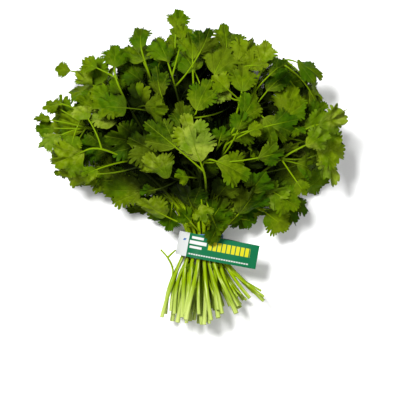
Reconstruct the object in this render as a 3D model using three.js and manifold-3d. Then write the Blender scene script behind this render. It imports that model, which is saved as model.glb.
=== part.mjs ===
// A tied bunch of fresh coriander, lying on its side. Millimetres, +Z up.
// Y runs along the bunch, from the cut stem ends (-Y) through the tie (y = 0) to the leafy head (+Y).
// The origin is on the surface that the bunch lies on, under the middle of the tie.
// Each shoot is one solid: a tapered stem with lobed leaves grown on it. A rubber band holds the shoots,
// and a paper label closes round the neck, with its two ends stuck together as a flag.
import * as THREE from "three";
import { mergeVertices } from "three/addons/utils/BufferGeometryUtils.js";
import Module from "manifold-3d";

const wasm = await Module();
wasm.setup();

// ---- Driving dimensions, in millimetres and degrees -------------------------------------------

const SEED = 22;

// The neck, where the shoots are tied side by side.
const SHOOT_COUNT = 54;
const NECK_HALF_WIDTH = 16.3;
const NECK_HALF_DEPTH = 14.7;

// Stems.
const BUTT_RADIUS = 2.1;
const NECK_RADIUS = 1.5;
const TIP_RADIUS = 0.8;
const BUTT_LENGTH = 70; // from the tie to the cut end
// How far the stems spread below the tie, to the left and to the right, as multiples of where they are in the
// neck: halfway down, past the neck's own width, and at their cut ends.
const BOW_FAN = [1, 0.2];
const BUTT_FAN = [2.3, 3.2];
const BUTT_LIFT = 1.5; // and of its depth
const TOP_STRAY = 6; // how far the cut ends on top may stray sideways from the fan's order
const INNER_STRAY = 5;
const BUTT_UNEVEN = [-7, 3]; // what is drawn for each cut end, past that length
const BUTT_SLANT = [0.5, 1.6]; // how much shorter they get to the left and to the right, for each mm in the neck
const STEM_SIDES = 5;
const GAP = 0.3; // between pieces that touch on the real thing

// The rubber band, round the neck just above its middle.
const BAND_AT = 8.5;
const BAND_WIDTH = 3.6;
const BAND_THICKNESS = 1.2;
const BAND_SLACK = 1.3;

// The paper label: a loop round the neck and the band, and a flag that runs out to the right.
const PAPER = 0.6;
const LABEL_WIDTH = 21.6;
const LABEL_TURN = 10.5; // clockwise, seen from above
const LABEL_CENTRE_Y = -1.5;
const LOOP_SLACK = 0.1;
const LOOP_HALF_WIDTH = 26.4;
const LOOP_MIDDLE = 2.4; // to the right of the neck's middle
const LOOP_JOIN = 32; // from the neck's middle to where the strip's two ends meet
const FLAG_END = 49;
const BAND_REACH = NECK_RADIUS + BAND_SLACK + BAND_THICKNESS; // past the stems' middles
const LOOP_HALF_DEPTH = NECK_HALF_DEPTH + BAND_REACH + GAP + LOOP_SLACK;
const NECK_HEIGHT = LOOP_HALF_DEPTH + PAPER; // its centre, over the surface

// The head: a cushion of leaves that rises from the neck and is widest across.
const HEAD_CENTRE = new THREE.Vector2(-5, 98);
const HEAD_HALF = new THREE.Vector2(134, 99);
const HEAD_MID_HEIGHT = 48;
const HEAD_HALF_DEPTH = 48;
const HEAD_ROOM = 12; // between the neck's stems and the head's underside, just past the neck
const FILL_HALF = new THREE.Vector2(96, 61); // where the shoots that fill the head behind are spread

// Leaves.
const PETIOLE_HALF = 0.75;
const PETIOLE_HEIGHT = 1.2;
const BLADE_HALF = 0.6; // half the thickness at a blade's middle
const BLADE_MIDDLE = 0.42; // from a blade's base, as a share of its length
const LOWEST = 0.15;
const FLOOR = LOWEST + BLADE_HALF; // the lowest that a blade's middle surface comes
const FLOOR_EASE = 7; // below this height a blade bends to lie along the surface

// Clearances between shoots.
const POINT_STEP = 2.6;
const BLADE_REACH = 1.3;
const CLEAR = 0.4;

// A blade's outline round its middle, from beside its tip to one side of its base: [degrees off its
// rib, share of its length].
const OUTLINE = [
  [13, 0.48],
  [21, 0.51],
  [33, 0.27],
  [50, 0.5],
  [60, 0.45],
  [73, 0.57],
  [96, 0.47],
  [134, 0.34],
];
const TIP_SHARE = 1 - BLADE_MIDDLE;
const CUT_POINT = 2; // the outline's point that lies deepest between two lobes

// What is drawn for each leaf: the depth of its cuts and its width, as multiples of the outline's, the
// slope of its fold along the rib, its cup (1/mm) and its bend along the rib (degrees a mm). A side
// leaf also draws its place along the stem, its turn round it, its lean from it, its petiole's length,
// its own length and its tilt.
const END_LEAF = {
  cut: [0.85, 1.5],
  width: [0.88, 1.08],
  fold: [-0.15, 0.3],
  cup: [0.002, 0.012],
  bend: [0.4, 1.4],
  tilt: [-34, 34],
};
const SIDE_LEAF = {
  cut: [0.8, 1.5],
  width: [0.8, 1.05],
  fold: [-0.2, 0.35],
  cup: [0.002, 0.014],
  bend: [0.2, 1],
  tilt: [-50, 50],
  share: [0.2, 0.94],
  turn: [0, 360],
  lean: [22, 68],
  petiole: [12, 56],
  size: [24, 38],
};
const COLLAR_LEAF = { ...SIDE_LEAF, share: [0.08, 0.4], petiole: [8, 30] }; // just past the neck

// How far an end leaf's last try may stray from its aim.
const END_STRAY = { x: 30, y: 30, lift: 0.5, heading: 90, rise: 0.8, tilt: 60 };
const STEM_SWAY = 0.35; // the same for its stem's path, as a share of the stem's length

// The shoots that show most: where each one's end leaf starts (x, y), its place between the underside
// (0) and the top (1) of the head, the way it points (degrees clockwise from +Y) and its length.
const LEADING = [
  [-112, 89, 0.75, -80, 31],
  [-23, 58, 1.05, -75, 22],
  [-25, 190, 0.75, 8, 20],
  [-10, 162, 0.95, 0, 27],
  [20, 172, 0.85, 0, 26],
  [50, 158, 0.95, 15, 24],
  [79, 165, 0.9, 110, 30],
  [98, 107, 0.9, 75, 31],
  [86, 88, 1, 65, 26],
  [109, 91, 0.55, 140, 24],
  [70, 44, 0.9, 100, 32],
  [59, 39, 0.6, 150, 28],
  [60, 60, 1.05, -60, 24],
  [8, 76, 1.05, 110, 34],
  [-4, 73, 1.1, -20, 36],
  [-13, 109, 1, -5, 34],
  [-64, 104, 1, -5, 34],
  [-58, 115, 0.9, 110, 27],
  [-83, 158, 0.8, 0, 24],
  [-62, 166, 0.85, 15, 26],
  [-31, 158, 0.9, -15, 30],
  [-112, 160, 0.5, -80, 16],
  [-87, 115, 0.95, -60, 27],
  [-138, 118, 0.6, -80, 18],
  [-103, 85, 0.95, -115, 34],
  [-96, 64, 0.6, 185, 22],
  [30, 109, 1.02, 40, 30],
  [52, 113, 0.95, 170, 32],
  [77, 104, 0.95, 5, 33],
  [22, 134, 1.05, -80, 22],
  [8, 148, 0.95, 20, 30],
  [29, 134, 1, 5, 27],
  [19, 94, 0.9, 60, 28],
];

// ---- Small helpers ----------------------------------------------------------------------------

const radians = THREE.MathUtils.degToRad;
const lerp = THREE.MathUtils.lerp;
const clamp = THREE.MathUtils.clamp;
const vec = (x, y, z) => new THREE.Vector3(x, y, z);
const UP = vec(0, 0, 1);

// A number from 0 to 1 that depends only on the seed and the keys.
function draw(...keys) {
  let h = SEED;
  for (const key of keys) {
    h = Math.imul(h ^ (key + 0x9e3779b9), 0x85ebca6b);
    h ^= h >>> 13;
    h = Math.imul(h, 0xc2b2ae35);
    h ^= h >>> 16;
  }
  return (h >>> 0) / 2 ** 32;
}

const between = (low, high, ...keys) => lerp(low, high, draw(...keys));

// One number in each named range.
function drawn(ranges, ...keys) {
  const names = Object.keys(ranges);
  return Object.fromEntries(names.map((name, i) => [name, between(...ranges[name], ...keys, i)]));
}

// One number for each name, up to the given amount either way.
function strayed(amounts, ...keys) {
  const ranges = Object.entries(amounts).map(([name, most]) => [name, [-most, most]]);
  return drawn(Object.fromEntries(ranges), ...keys);
}

function ramp(u) {
  const t = clamp(u, 0, 1);
  return t * t * (3 - 2 * t);
}

// A blade's height, eased so that it comes to lie along the surface and never goes under it.
function eased(z) {
  return z > FLOOR_EASE
    ? z
    : FLOOR + (FLOOR_EASE - FLOOR) * Math.exp((z - FLOOR_EASE) / (FLOOR_EASE - FLOOR));
}

// ---- The head's form --------------------------------------------------------------------------

function headHeight(x, y, lift) {
  const across = (x - HEAD_CENTRE.x) / HEAD_HALF.x;
  const along = (y - HEAD_CENTRE.y) / HEAD_HALF.y;
  const round = Math.sqrt(Math.max(0.08, 1 - across * across - along * along));
  const middle = lerp(NECK_HEIGHT, HEAD_MID_HEIGHT, ramp(y / 100));
  const grown = ramp(y / 85);
  const half = lerp(NECK_HALF_DEPTH + HEAD_ROOM, HEAD_HALF_DEPTH, grown) * lerp(1, round, grown);
  return middle + half * (2 * lift - 1);
}

// The way that a leaf at this point faces: away from the head's middle, and upwards.
function outward(point) {
  const middle = lerp(NECK_HEIGHT, HEAD_MID_HEIGHT, ramp(point.y / 100));
  return vec(
    (point.x - HEAD_CENTRE.x) / HEAD_HALF.x / 2,
    (point.y - HEAD_CENTRE.y) / HEAD_HALF.y / 2,
    (point.z - middle) / HEAD_HALF_DEPTH + 0.55,
  ).normalize();
}

// ---- Where the shoots go ----------------------------------------------------------------------

// Places in the neck, in columns from left to right, each from bottom to top.
function neckColumns() {
  const spacing = Math.sqrt(
    (Math.PI * NECK_HALF_WIDTH * NECK_HALF_DEPTH) / (SHOOT_COUNT * Math.sin(Math.PI / 3)),
  );
  const places = [];
  for (let column = -6; column <= 6; column++)
    for (let row = -6; row <= 6; row++) {
      const x = column * spacing * Math.sin(Math.PI / 3);
      const z = (row + (column & 1) / 2) * spacing;
      places.push({ column, x, z, off: (x / NECK_HALF_WIDTH) ** 2 + (z / NECK_HALF_DEPTH) ** 2 });
    }
  places.sort((a, b) => a.off - b.off || a.x - b.x || a.z - b.z);
  const kept = places.slice(0, SHOOT_COUNT);
  const names = [...new Set(kept.map((p) => p.column))].sort((a, b) => a - b);
  return names.map((name) => kept.filter((p) => p.column === name).sort((a, b) => a.z - b.z));
}

// Every shoot's aim: the leading ones, then others that fill the head behind them.
function aims() {
  const found = LEADING.map(([x, y, lift, heading, size]) => ({ x, y, lift, heading, size }));
  const rest = SHOOT_COUNT - LEADING.length;
  for (let i = 0; i < rest; i++) {
    const out = Math.sqrt((i + 0.5) / rest);
    const turn = i * Math.PI * (3 - Math.sqrt(5));
    const x = HEAD_CENTRE.x + FILL_HALF.x * out * Math.cos(turn);
    const y = HEAD_CENTRE.y + FILL_HALF.y * out * Math.sin(turn) + 6;
    found.push({
      x,
      y,
      lift: 0.7 * ((i * 0.618) % 1),
      heading: THREE.MathUtils.radToDeg(Math.atan2(x, y)) + between(-60, 60, AIM_KEY, i, 0),
      size: between(26, 32, AIM_KEY, i, 1),
    });
  }
  return found.map((aim, index) => ({ ...aim, index, z: headHeight(aim.x, aim.y, aim.lift) }));
}

// Gives each aim a place in the neck, so that shoots keep their order and don't cross.
function shootsInOrder() {
  const fan = (aim) => Math.atan2(aim.x, Math.hypot(aim.y + 30, aim.z - NECK_HEIGHT));
  const climb = (aim) => Math.atan2(aim.z - NECK_HEIGHT, Math.hypot(aim.y + 30, aim.x));
  const byFan = aims().sort((a, b) => fan(a) - fan(b));
  const shoots = [];
  let next = 0;
  for (const column of neckColumns()) {
    const group = byFan.slice(next, next + column.length).sort((a, b) => climb(a) - climb(b));
    group.forEach((aim, i) => shoots.push({ ...aim, slot: column[i], onTop: i === group.length - 1 }));
    next += column.length;
  }
  return shoots.sort((a, b) => a.index - b.index);
}

// ---- A leaf's frame and outline ---------------------------------------------------------------

// A leaf grows from a point along an arc that bends away from its upper face. s runs along its rib,
// w across it, and h is the height over its middle surface.
function leafFrame(start, T, up, leaf) {
  const N = up.clone().addScaledVector(T, -up.dot(T)).normalize();
  return { start, T, N, B: N.clone().cross(T), bend: radians(leaf.bend) };
}

function leafPoint(frame, leaf, s, w, h = 0) {
  const turn = frame.bend * s;
  const tangent = Math.sin(turn) / frame.bend;
  const drop = (1 - Math.cos(turn)) / frame.bend;
  const normal = frame.N.clone().multiplyScalar(Math.cos(turn)).addScaledVector(frame.T, Math.sin(turn));
  const raise = leaf.fold * Math.abs(w) - leaf.cup * w * w;
  const point = frame.start
    .clone()
    .addScaledVector(frame.T, tangent)
    .addScaledVector(frame.N, -drop)
    .addScaledVector(frame.B, w)
    .addScaledVector(normal, raise);
  point.z = eased(point.z);
  point.addScaledVector(normal, h);
  return point.setZ(Math.max(point.z, LOWEST));
}

// A blade's whole outline, from the right of its base round its tip to the left: [s, w].
function rim(leaf) {
  const half = OUTLINE.map(([angle, share], i) => [angle, i === CUT_POINT ? share * leaf.cut : share]);
  const turns = [...half.map(([a, r]) => [-a, r]).reverse(), [0, TIP_SHARE], ...half];
  return turns.map(([angle, share]) => onBlade(leaf, angle, share));
}

function onBlade(leaf, angle, share) {
  const a = radians(angle);
  const r = share * leaf.size;
  return [leaf.petiole + BLADE_MIDDLE * leaf.size + r * Math.cos(a), r * Math.sin(a) * leaf.width];
}

// A leaf as one closed body. The petiole has a flat underside and a rib on top. The blade is thickest
// at its middle, and its two faces share the points of its edge.
function leafGeometry(frame, leaf) {
  const points = [];
  const add = (s, w, h = 0) => points.push(leafPoint(frame, leaf, s, w, h)) - 1;
  const faces = [];
  const quad = (a, b, c, d) => faces.push([a, b, c], [a, c, d]);
  const root = add(leaf.root, 0);
  const stations = leaf.stations.map((s) => ({
    right: add(s, -PETIOLE_HALF),
    rib: add(s, 0, PETIOLE_HEIGHT),
    left: add(s, PETIOLE_HALF),
  }));
  const [first, base] = [stations[0], stations.at(-1)];
  faces.push([root, first.right, first.rib], [root, first.rib, first.left], [root, first.left, first.right]);
  stations.slice(1).forEach((b, i) => {
    const a = stations[i];
    quad(a.right, b.right, b.rib, a.rib);
    quad(a.rib, b.rib, b.left, a.left);
    quad(a.left, b.left, b.right, a.right);
  });
  const middle = leaf.petiole + BLADE_MIDDLE * leaf.size;
  const [top, bottom] = [add(middle, 0, BLADE_HALF), add(middle, 0, -BLADE_HALF)];
  const edge = [base.right, ...rim(leaf).map(([s, w]) => add(s, w)), base.left];
  edge.slice(1).forEach((b, i) => faces.push([top, edge[i], b], [bottom, b, edge[i]]));
  faces.push([top, base.left, base.rib], [top, base.rib, base.right], [bottom, base.right, base.left]);
  return new THREE.BufferGeometry().setFromPoints(points).setIndex(faces.flat());
}

// Points over a leaf's blade and along its petiole, a step apart, to keep leaves clear of each other.
function leafReach(frame, leaf) {
  const found = [];
  for (let s = leaf.clearFrom; s < leaf.petiole; s += POINT_STEP)
    found.push({ p: leafPoint(frame, leaf, s, 0), r: PETIOLE_HALF });
  const middle = leaf.petiole + BLADE_MIDDLE * leaf.size;
  found.push({ p: leafPoint(frame, leaf, middle, 0), r: BLADE_REACH });
  const outline = rim(leaf);
  outline.forEach(([s, w], i) => {
    const [s2, w2] = outline[(i + 1) % outline.length];
    const along = Math.ceil(Math.hypot(s2 - s, w2 - w) / POINT_STEP);
    for (let j = 0; j < along; j++) {
      const [es, ew] = [lerp(s, s2, j / along), lerp(w, w2, j / along)];
      const steps = Math.ceil(Math.hypot(es - middle, ew) / POINT_STEP);
      for (let k = steps; k > 0; k -= 2 * k < steps ? 2 : 1) {
        const p = leafPoint(frame, leaf, lerp(middle, es, k / steps), (ew * k) / steps);
        found.push({ p, r: BLADE_REACH });
      }
    }
  });
  return found;
}

// ---- A stem -----------------------------------------------------------------------------------

const LOWER_TRIES = 80;
const END_TRIES = 500;
const SIDE_TRIES = 260;

// Keys that keep the draws for different things apart.
const AIM_KEY = 700000;
const LOWER_KEY = 100000;
const STEM_KEY = 200000;
const END_KEY = 300000;
const COLLAR_KEY = 400000;
const SIDE_KEYS = [500000, 600000];

// Shares of the way along a stem's two curves where its rings are.
const LOWER_SHARES = [0, 0.33, 0.67, 1];
const UPPER_SHARES = [0, 0.25, 0.5, 0.72, 0.88, 1];
const SHARPEST_TURN = radians(100); // between a stem and its end leaf

const neckPoint = ({ slot }) => vec(slot.x, 0, NECK_HEIGHT + slot.z);

// A shoot's stem from its cut end to the tie. The fan spreads in order, so that no two stems meet, and
// those on top are free to stray.
function lowerStem(shoot, attempt) {
  const { slot, index, onTop } = shoot;
  const keys = [index, LOWER_KEY + attempt];
  const stray = (onTop ? TOP_STRAY : INNER_STRAY) * (1 - attempt / LOWER_TRIES);
  const side = slot.x < 0 ? 0 : 1;
  const x = slot.x * BUTT_FAN[side] + between(-stray, stray, ...keys, 0);
  const lift = between(0, onTop ? 2 + 0.15 * attempt : 0.8, ...keys, 1);
  const z = BUTT_RADIUS + 1 + (slot.z + NECK_HALF_DEPTH) * BUTT_LIFT + lift;
  const slant = BUTT_SLANT[side] * Math.abs(slot.x);
  const length = BUTT_LENGTH - slant + between(...BUTT_UNEVEN, index, LOWER_KEY);
  const neck = neckPoint(shoot);
  const bow = neck.clone().add(vec(slot.x * BOW_FAN[side], -0.36 * length, 0));
  return new THREE.QuadraticBezierCurve3(vec(x, -length, z), bow, neck);
}

// Its stem from the tie to its end leaf.
function upperStem(shoot, leafStart, leafAlong, attempt) {
  const { slot, index } = shoot;
  const neck = neckPoint(shoot);
  const distance = neck.distanceTo(leafStart);
  const sway = (STEM_SWAY * distance * attempt) / END_TRIES;
  const amounts = { x: sway, y: sway, z: sway, nearX: sway / 8, nearZ: sway / 8 };
  const by = strayed(amounts, index, STEM_KEY + attempt);
  const straight = 30 + 0.09 * distance;
  const leave = neck.clone().add(vec(0.1 * slot.x + by.nearX, straight, 0.15 * slot.z + by.nearZ));
  const arrive = leafStart.clone().addScaledVector(leafAlong, -0.2 * distance).add(vec(by.x, by.y, by.z));
  arrive.z = Math.max(arrive.z, FLOOR_EASE);
  return new THREE.CubicBezierCurve3(neck, leave, arrive, leafStart);
}

// Rings along a stem's curve: its middle, the way it runs and its radius.
function ringsAlong(curve, shares, fromRadius, toRadius) {
  return shares.map((t) => ({
    p: curve.getPoint(t),
    T: curve.getTangent(t),
    r: lerp(fromRadius, toRadius, t),
  }));
}

const lowerRings = (curve) => ringsAlong(curve, LOWER_SHARES, BUTT_RADIUS, NECK_RADIUS);
const upperRings = (curve) => ringsAlong(curve, UPPER_SHARES, NECK_RADIUS, TIP_RADIUS);

// The stem's middle at a share of the way from the tie to the end leaf, and the way it runs there.
function onUpperStem(rings, share) {
  const next = UPPER_SHARES.findIndex((s) => s > share);
  const part = (share - UPPER_SHARES[next - 1]) / (UPPER_SHARES[next] - UPPER_SHARES[next - 1]);
  const [a, b] = rings.slice(LOWER_SHARES.length + next - 2);
  return { p: a.p.clone().lerp(b.p, part), T: a.T.clone().lerp(b.T, part).normalize() };
}

// A closed cylinder bent so that its rings lie on the given ones.
function stemGeometry(rings) {
  const steps = rings.length - 1;
  const made = new THREE.CylinderGeometry(1, 1, steps, STEM_SIDES, steps);
  made.translate(0, steps / 2, 0);
  const at = made.getAttribute("position");
  for (let i = 0; i < at.count; i++) {
    const { p, T, r } = rings[Math.round(at.getY(i))];
    const up = UP.clone().addScaledVector(T, -T.z).normalize();
    const side = up.clone().cross(T);
    const point = p.clone().addScaledVector(side, r * at.getX(i)).addScaledVector(up, -r * at.getZ(i));
    at.setXYZ(i, point.x, point.y, point.z);
  }
  return made;
}

// Points along the stem's middle, half a step apart.
function stemReach(rings) {
  const found = [];
  rings.slice(1).forEach((b, i) => {
    const a = rings[i];
    const steps = Math.ceil((2 * a.p.distanceTo(b.p)) / POINT_STEP);
    for (let k = 0; k < steps; k++)
      found.push({ p: a.p.clone().lerp(b.p, k / steps), r: lerp(a.r, b.r, k / steps) });
  });
  return found;
}

// ---- Keeping pieces clear of each other -------------------------------------------------------

const CELL = 6;
const placed = new Map(); // grid cell -> points, each with the piece it belongs to
const cellOf = (v) => Math.floor(v / CELL);
const cellKey = (x, y, z) => ((x + 512) * 1024 + (y + 512)) * 1024 + z + 512;

function remember(owner, points) {
  for (const { p, r } of points) {
    const key = cellKey(cellOf(p.x), cellOf(p.y), cellOf(p.z));
    if (!placed.has(key)) placed.set(key, []);
    placed.get(key).push({ p, r, owner });
  }
}

function isClear(owner, points) {
  for (const { p, r } of points) {
    const [cx, cy, cz] = [cellOf(p.x), cellOf(p.y), cellOf(p.z)];
    for (let x = cx - 1; x <= cx + 1; x++)
      for (let y = cy - 1; y <= cy + 1; y++)
        for (let z = cz - 1; z <= cz + 1; z++)
          for (const other of placed.get(cellKey(x, y, z)) ?? [])
            if (other.owner !== owner && other.p.distanceTo(p) < r + other.r + CLEAR) return false;
  }
  return true;
}

// ---- The head's cover -------------------------------------------------------------------------

// How many points lie over each cell of the head, seen from above, along the bunch and from the side.
const SIGHT_CELL = 5;
const SIGHT_WEIGHTS = [1, 0.3, 0.3];
const seen = new Map();

function sightKeys(p) {
  const [x, y, z] = [p.x, p.y, p.z].map((v) => Math.floor(v / SIGHT_CELL) + 100);
  return [x * 1000 + y, 1e6 + x * 1000 + z, 2e6 + y * 1000 + z];
}

function newCover(points) {
  let sum = 0;
  for (const { p } of points)
    sightKeys(p).forEach((key, i) => (sum += SIGHT_WEIGHTS[i] / (1 + (seen.get(key) ?? 0)) ** 2));
  return sum;
}

function addCover(points) {
  for (const { p } of points) for (const key of sightKeys(p)) seen.set(key, (seen.get(key) ?? 0) + 1);
}

// ---- Growing a shoot --------------------------------------------------------------------------

// The end leaf and its stem, at one attempt: each next one strays a little further from the aim.
function endLeaf(shoot, attempt) {
  const { index } = shoot;
  const stray = attempt / END_TRIES;
  const by = strayed(END_STRAY, index, END_KEY + attempt);
  const x = shoot.x + by.x * stray;
  const y = Math.max(shoot.y + by.y * stray, 30);
  const start = vec(x, y, Math.max(headHeight(x, y, shoot.lift + by.lift * stray), 5));
  const heading = radians(shoot.heading + by.heading * stray);
  const flat = vec(Math.sin(heading), Math.cos(heading), 0);
  const slope = (headHeight(x + 8 * flat.x, y + 8 * flat.y, shoot.lift) - headHeight(x, y, shoot.lift)) / 8;
  const rise = clamp(slope * 0.7, -0.9, 0.7) + by.rise * stray + 0.12;
  const along = flat.clone().setZ(rise).normalize();
  const reach = start.clone().sub(neckPoint(shoot)).normalize();
  const excess = along.angleTo(reach) - SHARPEST_TURN;
  if (excess > 0) along.applyAxisAngle(along.clone().cross(reach).normalize(), excess);
  const leaf = {
    ...drawn(END_LEAF, index, END_KEY),
    size: shoot.size * (1 - 0.3 * stray),
    petiole: 3,
    root: -7,
    stations: [0.8, 3],
    clearFrom: 0,
  };
  const up = outward(start).lerp(UP, 0.35).applyAxisAngle(along, radians(leaf.tilt + by.tilt * stray));
  return { frame: leafFrame(start, along, up, leaf), leaf, upper: upperStem(shoot, start, along, attempt) };
}

// A side leaf on its own petiole, at one attempt.
function sideLeaf(shoot, ranges, key, attempt) {
  const drawnLeaf = drawn(ranges, shoot.index, key + attempt);
  const { share, turn, lean, petiole, tilt } = drawnLeaf;
  const { p: from, T } = onUpperStem(shoot.rings, share);
  const up = UP.clone().addScaledVector(T, -T.z).normalize();
  const side = up.clone().cross(T).applyAxisAngle(T, radians(turn));
  const [onward, sideways] = [Math.cos(radians(lean)), Math.sin(radians(lean))];
  const along = T.clone().multiplyScalar(onward).addScaledVector(side, sideways);
  const facing = outward(from.clone().addScaledVector(along, petiole)).lerp(UP, 0.3);
  const stations = petiole > 38 ? [2, petiole * 0.55, petiole] : [2, petiole];
  const leaf = { ...drawnLeaf, root: 0, stations, clearFrom: 3 };
  return { frame: leafFrame(from, along, facing.applyAxisAngle(along, radians(tilt)), leaf), leaf };
}

function insideHead(points) {
  return points.every(({ p }) => {
    const across = (p.x - HEAD_CENTRE.x) / (HEAD_HALF.x + 4);
    const along = (p.y - HEAD_CENTRE.y) / (HEAD_HALF.y + 2);
    const funnel = Math.abs(p.x) < 44 + 2.2 * Math.max(0, p.y - 18);
    return across * across + along * along < 1 && p.z < headHeight(p.x, p.y, 1.08) && p.y > 14 && funnel;
  });
}

function growLower(shoots) {
  for (const shoot of [...shoots].sort((a, b) => a.onTop - b.onTop))
    for (let attempt = 0; attempt <= LOWER_TRIES; attempt++) {
      const lower = lowerStem(shoot, attempt);
      const reach = stemReach(lowerRings(lower));
      if (!isClear(shoot.index, reach)) continue;
      shoot.lower = lower;
      remember(shoot.index, reach);
      break;
    }
}

function growEnds(shoots) {
  for (const shoot of shoots.filter((each) => each.lower)) {
    for (let attempt = 0; attempt < END_TRIES; attempt++) {
      const { frame, leaf, upper } = endLeaf(shoot, attempt);
      const stem = stemReach(upperRings(upper));
      if (!isClear(shoot.index, stem)) continue;
      const blade = leafReach(frame, leaf);
      if (!isClear(shoot.index, blade)) continue;
      shoot.rings = [...lowerRings(shoot.lower).slice(0, -1), ...upperRings(upper)];
      shoot.leaves = [{ frame, leaf }];
      remember(shoot.index, [...stem, ...blade]);
      addCover(blade);
      break;
    }
  }
}

function growSides(shoots, ranges, key) {
  for (const shoot of shoots) {
    if (!shoot.rings) continue;
    let best = null;
    for (let attempt = 0; attempt < SIDE_TRIES; attempt++) {
      const { frame, leaf } = sideLeaf(shoot, ranges, key, attempt);
      const reach = leafReach(frame, leaf);
      const gain = newCover(reach);
      if (best && gain <= best.gain) continue;
      if (insideHead(reach) && isClear(shoot.index, reach)) best = { frame, leaf, reach, gain };
    }
    if (!best) continue;
    shoot.leaves.push(best);
    remember(shoot.index, best.reach);
    addCover(best.reach);
  }
}

// ---- The label and the band -------------------------------------------------------------------

// Points of an ellipse round the neck, from one angle to another, in the plane across the bunch.
function ellipse(halfWidth, halfDepth, fromAngle, toAngle, steps) {
  return Array.from({ length: steps + 1 }, (_, i) => {
    const a = radians(lerp(fromAngle, toAngle, i / steps));
    return new THREE.Vector2(halfWidth * Math.cos(a), NECK_HEIGHT + halfDepth * Math.sin(a));
  });
}

// Stands a flat shape up across the bunch and gives it a width along the bunch.
function acrossBunch(shape, width) {
  const made = new THREE.ExtrudeGeometry(shape, { depth: width, bevelEnabled: false });
  return made.translate(0, 0, -width / 2).rotateX(Math.PI / 2);
}

function bandGeometry() {
  const ring = (reach) => ellipse(NECK_HALF_WIDTH + reach, NECK_HALF_DEPTH + reach, 0, 345, 23);
  const shape = new THREE.Shape(ring(BAND_REACH));
  shape.holes.push(new THREE.Path(ring(BAND_REACH - BAND_THICKNESS)));
  return acrossBunch(shape, BAND_WIDTH).translate(0, BAND_AT, 0);
}

// The strip lies over the neck, goes round it and meets its other end under the flag. It is pressed
// flat on top and where it lies on the surface.
function labelGeometry() {
  const top = NECK_HEIGHT + LOOP_HALF_DEPTH + PAPER;
  const round = (past) =>
    ellipse(LOOP_HALF_WIDTH + past, LOOP_HALF_DEPTH + PAPER + past, 90, 360, 24).map(
      (p) => new THREE.Vector2(p.x + LOOP_MIDDLE, clamp(p.y, PAPER - past, top - PAPER + past)),
    );
  const shape = new THREE.Shape([
    new THREE.Vector2(FLAG_END, top),
    ...round(PAPER),
    new THREE.Vector2(LOOP_JOIN, top - 2 * PAPER),
    new THREE.Vector2(FLAG_END, top - 2 * PAPER),
  ]);
  shape.holes.push(new THREE.Path([new THREE.Vector2(LOOP_JOIN - 1, top - PAPER), ...round(0)]));
  return acrossBunch(shape, LABEL_WIDTH).rotateZ(-radians(LABEL_TURN)).translate(0, LABEL_CENTRE_Y, 0);
}

// Points over a geometry's faces, a step apart.
function surfaceReach(geometry, r) {
  const at = (geometry.index ? geometry.toNonIndexed() : geometry).getAttribute("position");
  const found = [];
  for (let i = 0; i < at.count; i += 3) {
    const [a, b, c] = [0, 1, 2].map((k) => new THREE.Vector3().fromBufferAttribute(at, i + k));
    const steps = Math.ceil(Math.max(a.distanceTo(b), b.distanceTo(c), c.distanceTo(a)) / POINT_STEP);
    for (let u = 0; u <= steps; u++)
      for (let v = 0; u + v <= steps; v++) {
        const p = a.clone().multiplyScalar(1 - (u + v) / steps);
        found.push({ p: p.addScaledVector(b, u / steps).addScaledVector(c, v / steps), r });
      }
  }
  return found;
}

// ---- Solids -----------------------------------------------------------------------------------

function toSolid(geometry) {
  const bare = new THREE.BufferGeometry().setAttribute("position", geometry.getAttribute("position"));
  const merged = mergeVertices(bare.setIndex(geometry.index), 1e-4);
  return new wasm.Manifold(
    new wasm.Mesh({
      numProp: 3,
      vertProperties: merged.getAttribute("position").array,
      triVerts: new Uint32Array(merged.index.array),
    }),
  );
}

function toGeometry(solid) {
  const { vertProperties, triVerts } = solid.getMesh();
  const made = new THREE.BufferGeometry();
  made.setAttribute("position", new THREE.BufferAttribute(vertProperties, 3));
  made.setIndex(new THREE.BufferAttribute(triVerts, 1));
  made.computeVertexNormals();
  return made;
}

const leafSolid = ({ frame, leaf }) => toSolid(leafGeometry(frame, leaf));

function shootSolid(shoot) {
  const stem = toSolid(stemGeometry(shoot.rings));
  return shoot.leaves.reduce((solid, leaf) => solid.add(leafSolid(leaf)), stem);
}

// Takes off any side leaf that still touches another shoot.
function trimTouching(shoots) {
  const meet = (a, b) => a.intersect(b).volume() > 0;
  for (const shoot of shoots) {
    const others = shoots.filter((other) => other !== shoot && meet(shoot.solid, other.solid));
    const touches = (leaf) => others.some((other) => meet(leafSolid(leaf), other.solid));
    const kept = shoot.leaves.filter((leaf, i) => i === 0 || !touches(leaf));
    if (kept.length === shoot.leaves.length) continue;
    shoot.leaves = kept;
    shoot.solid = shootSolid(shoot);
  }
}

// ---- The bunch --------------------------------------------------------------------------------

const label = labelGeometry();
const band = bandGeometry();
const HOLDER = -1; // the owner of the label's and the band's points
remember(HOLDER, surfaceReach(label, PAPER / 2));
remember(HOLDER, surfaceReach(band, -CLEAR / 2));

const shoots = shootsInOrder();
growLower(shoots);
growEnds(shoots);
growSides(shoots.filter((shoot) => shoot.onTop), COLLAR_LEAF, COLLAR_KEY);
for (const key of SIDE_KEYS) growSides(shoots, SIDE_LEAF, key);

const leafGreen = new THREE.MeshStandardMaterial({ color: 0x5f8a1e, roughness: 0.55, metalness: 0 });
const paper = new THREE.MeshStandardMaterial({ color: 0x007a55, roughness: 0.4, metalness: 0 });
const rubber = new THREE.MeshStandardMaterial({ color: 0x3f5fa8, roughness: 0.6, metalness: 0 });

const bunch = new THREE.Group();

function addPiece(name, geometry, material) {
  const mesh = new THREE.Mesh(geometry, material);
  mesh.name = name;
  bunch.add(mesh);
}

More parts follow.
